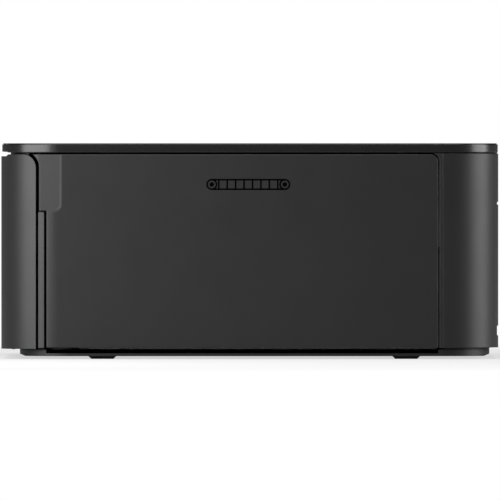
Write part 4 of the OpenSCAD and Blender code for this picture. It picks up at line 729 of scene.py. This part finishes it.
def makePaper(name, share):
    material = bpy.data.materials.new(name)
    material.use_nodes = True
    tree = material.node_tree
    tree.nodes.remove(tree.nodes["Principled BSDF"])
    matt = addNode(tree, "ShaderNodeBsdfDiffuse")
    matt.inputs["Color"].default_value = (*studio["floorColour"], 1)
    white = addNode(tree, "ShaderNodeEmission")
    mix = addNode(tree, "ShaderNodeMixShader")
    # the floor turns plain white away from the object, where the lamps don't reach
    place = addNode(tree, "ShaderNodeTexCoord")
    reach = addNode(tree, "ShaderNodeVectorMath", operation="LENGTH")
    tree.links.new(place.outputs["Object"], reach.inputs[0])
    ramp = addNode(tree, "ShaderNodeMapRange")
    tree.links.new(reach.outputs["Value"], ramp.inputs["Value"])
    for label, value in zip(("From Min", "From Max", "To Min", "To Max"), (*studio["whiteFrom"], share, 1.0)):
        ramp.inputs[label].default_value = value
    seen = seenShare(tree, studio["glossShare"])
    tree.links.new(mathNode(tree, "MULTIPLY", seen, ramp.outputs["Result"]), mix.inputs[0])
    tree.links.new(matt.outputs[0], mix.inputs[1])
    tree.links.new(white.outputs[0], mix.inputs[2])
    tree.links.new(mix.outputs[0], tree.nodes["Material Output"].inputs["Surface"])
    return material


def makeFloor():
    sheet = bmesh.new()
    lie = Matrix.Translation((0, 0, studio["floorHeight"]))
    spread = Matrix.Diagonal((studio["floorSize"], studio["floorSize"], 1, 1))
    bmesh.ops.create_grid(sheet, x_segments=1, y_segments=1, size=0.5, matrix=lie @ spread)
    made = makeObject(sheet, "studioFloor", makePaper("studioFloorPaper", studio["floorShare"]))


makeFloor()

# the room is a dim grey for light and for glossy plastic, and plain white where it is seen straight or through glass
world = bpy.data.worlds.new("studioRoom")
scene.world = world
world.use_nodes = True
air = world.node_tree
room = air.nodes["Background"]
room.inputs["Color"].default_value = (1, 1, 1, 1)
brightness = mathNode(air, "MAXIMUM", seenShare(air, studio["roomGrey"]), studio["roomGrey"])
air.links.new(brightness, room.inputs["Strength"])

# each lamp: bearing from +X towards +Y, height angle, distance, size across and up, brightness of its face
lamps = {
    "frontBox": {"bearing": -46, "rise": 14, "distance": 0.34, "size": (0.31, 0.27), "glow": 6.8},
    "rearBox": {"bearing": 82, "rise": 14, "distance": 0.8, "size": (0.52, 0.5), "glow": 7.4},
    "topBox": {"bearing": 0, "rise": 80, "distance": 1.0, "size": (0.8, 0.8), "glow": 3.6},
    "leftFill": {"bearing": 190, "rise": 38, "distance": 1.0, "size": (0.8, 0.6), "glow": 1.8},
}
lampTarget = Vector((0.03, 0, 0.03))
for name, lamp in lamps.items():
    light = bpy.data.lights.new(name, "AREA")
    light.shape = "RECTANGLE"
    light.size, light.size_y = lamp["size"]
    light.energy = lamp["glow"] * math.pi * lamp["size"][0] * lamp["size"][1]
    bearing, rise = math.radians(lamp["bearing"]), math.radians(lamp["rise"])
    away = Vector((math.cos(bearing) * math.cos(rise), math.sin(bearing) * math.cos(rise), math.sin(rise)))
    holder = bpy.data.objects.new(name, light)
    holder.location = lampTarget + away * lamp["distance"]
    holder.rotation_euler = (-away).to_track_quat("-Z", "Y").to_euler()
    scene.collection.objects.link(holder)

view = {"distance": 6.0, "eyeHeight": 0.052, "aimHeight": 0.0291, "span": 0.1335, "aside": 0.00006, "sensor": 36}
camera = bpy.data.cameras.new("viewCamera")
camera.sensor_width = view["sensor"]
camera.lens = view["sensor"] * view["distance"] / view["span"]
eye = bpy.data.objects.new("viewCamera", camera)
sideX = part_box("ink_door")[1].x
eye.location = (sideX + view["distance"], view["aside"], view["eyeHeight"])
aim = Vector((sideX, view["aside"], view["aimHeight"]))
eye.rotation_euler = (aim - eye.location).to_track_quat("-Z", "Y").to_euler()
scene.collection.objects.link(eye)
scene.camera = eye
print("studio set with", len(lamps), "lamps")
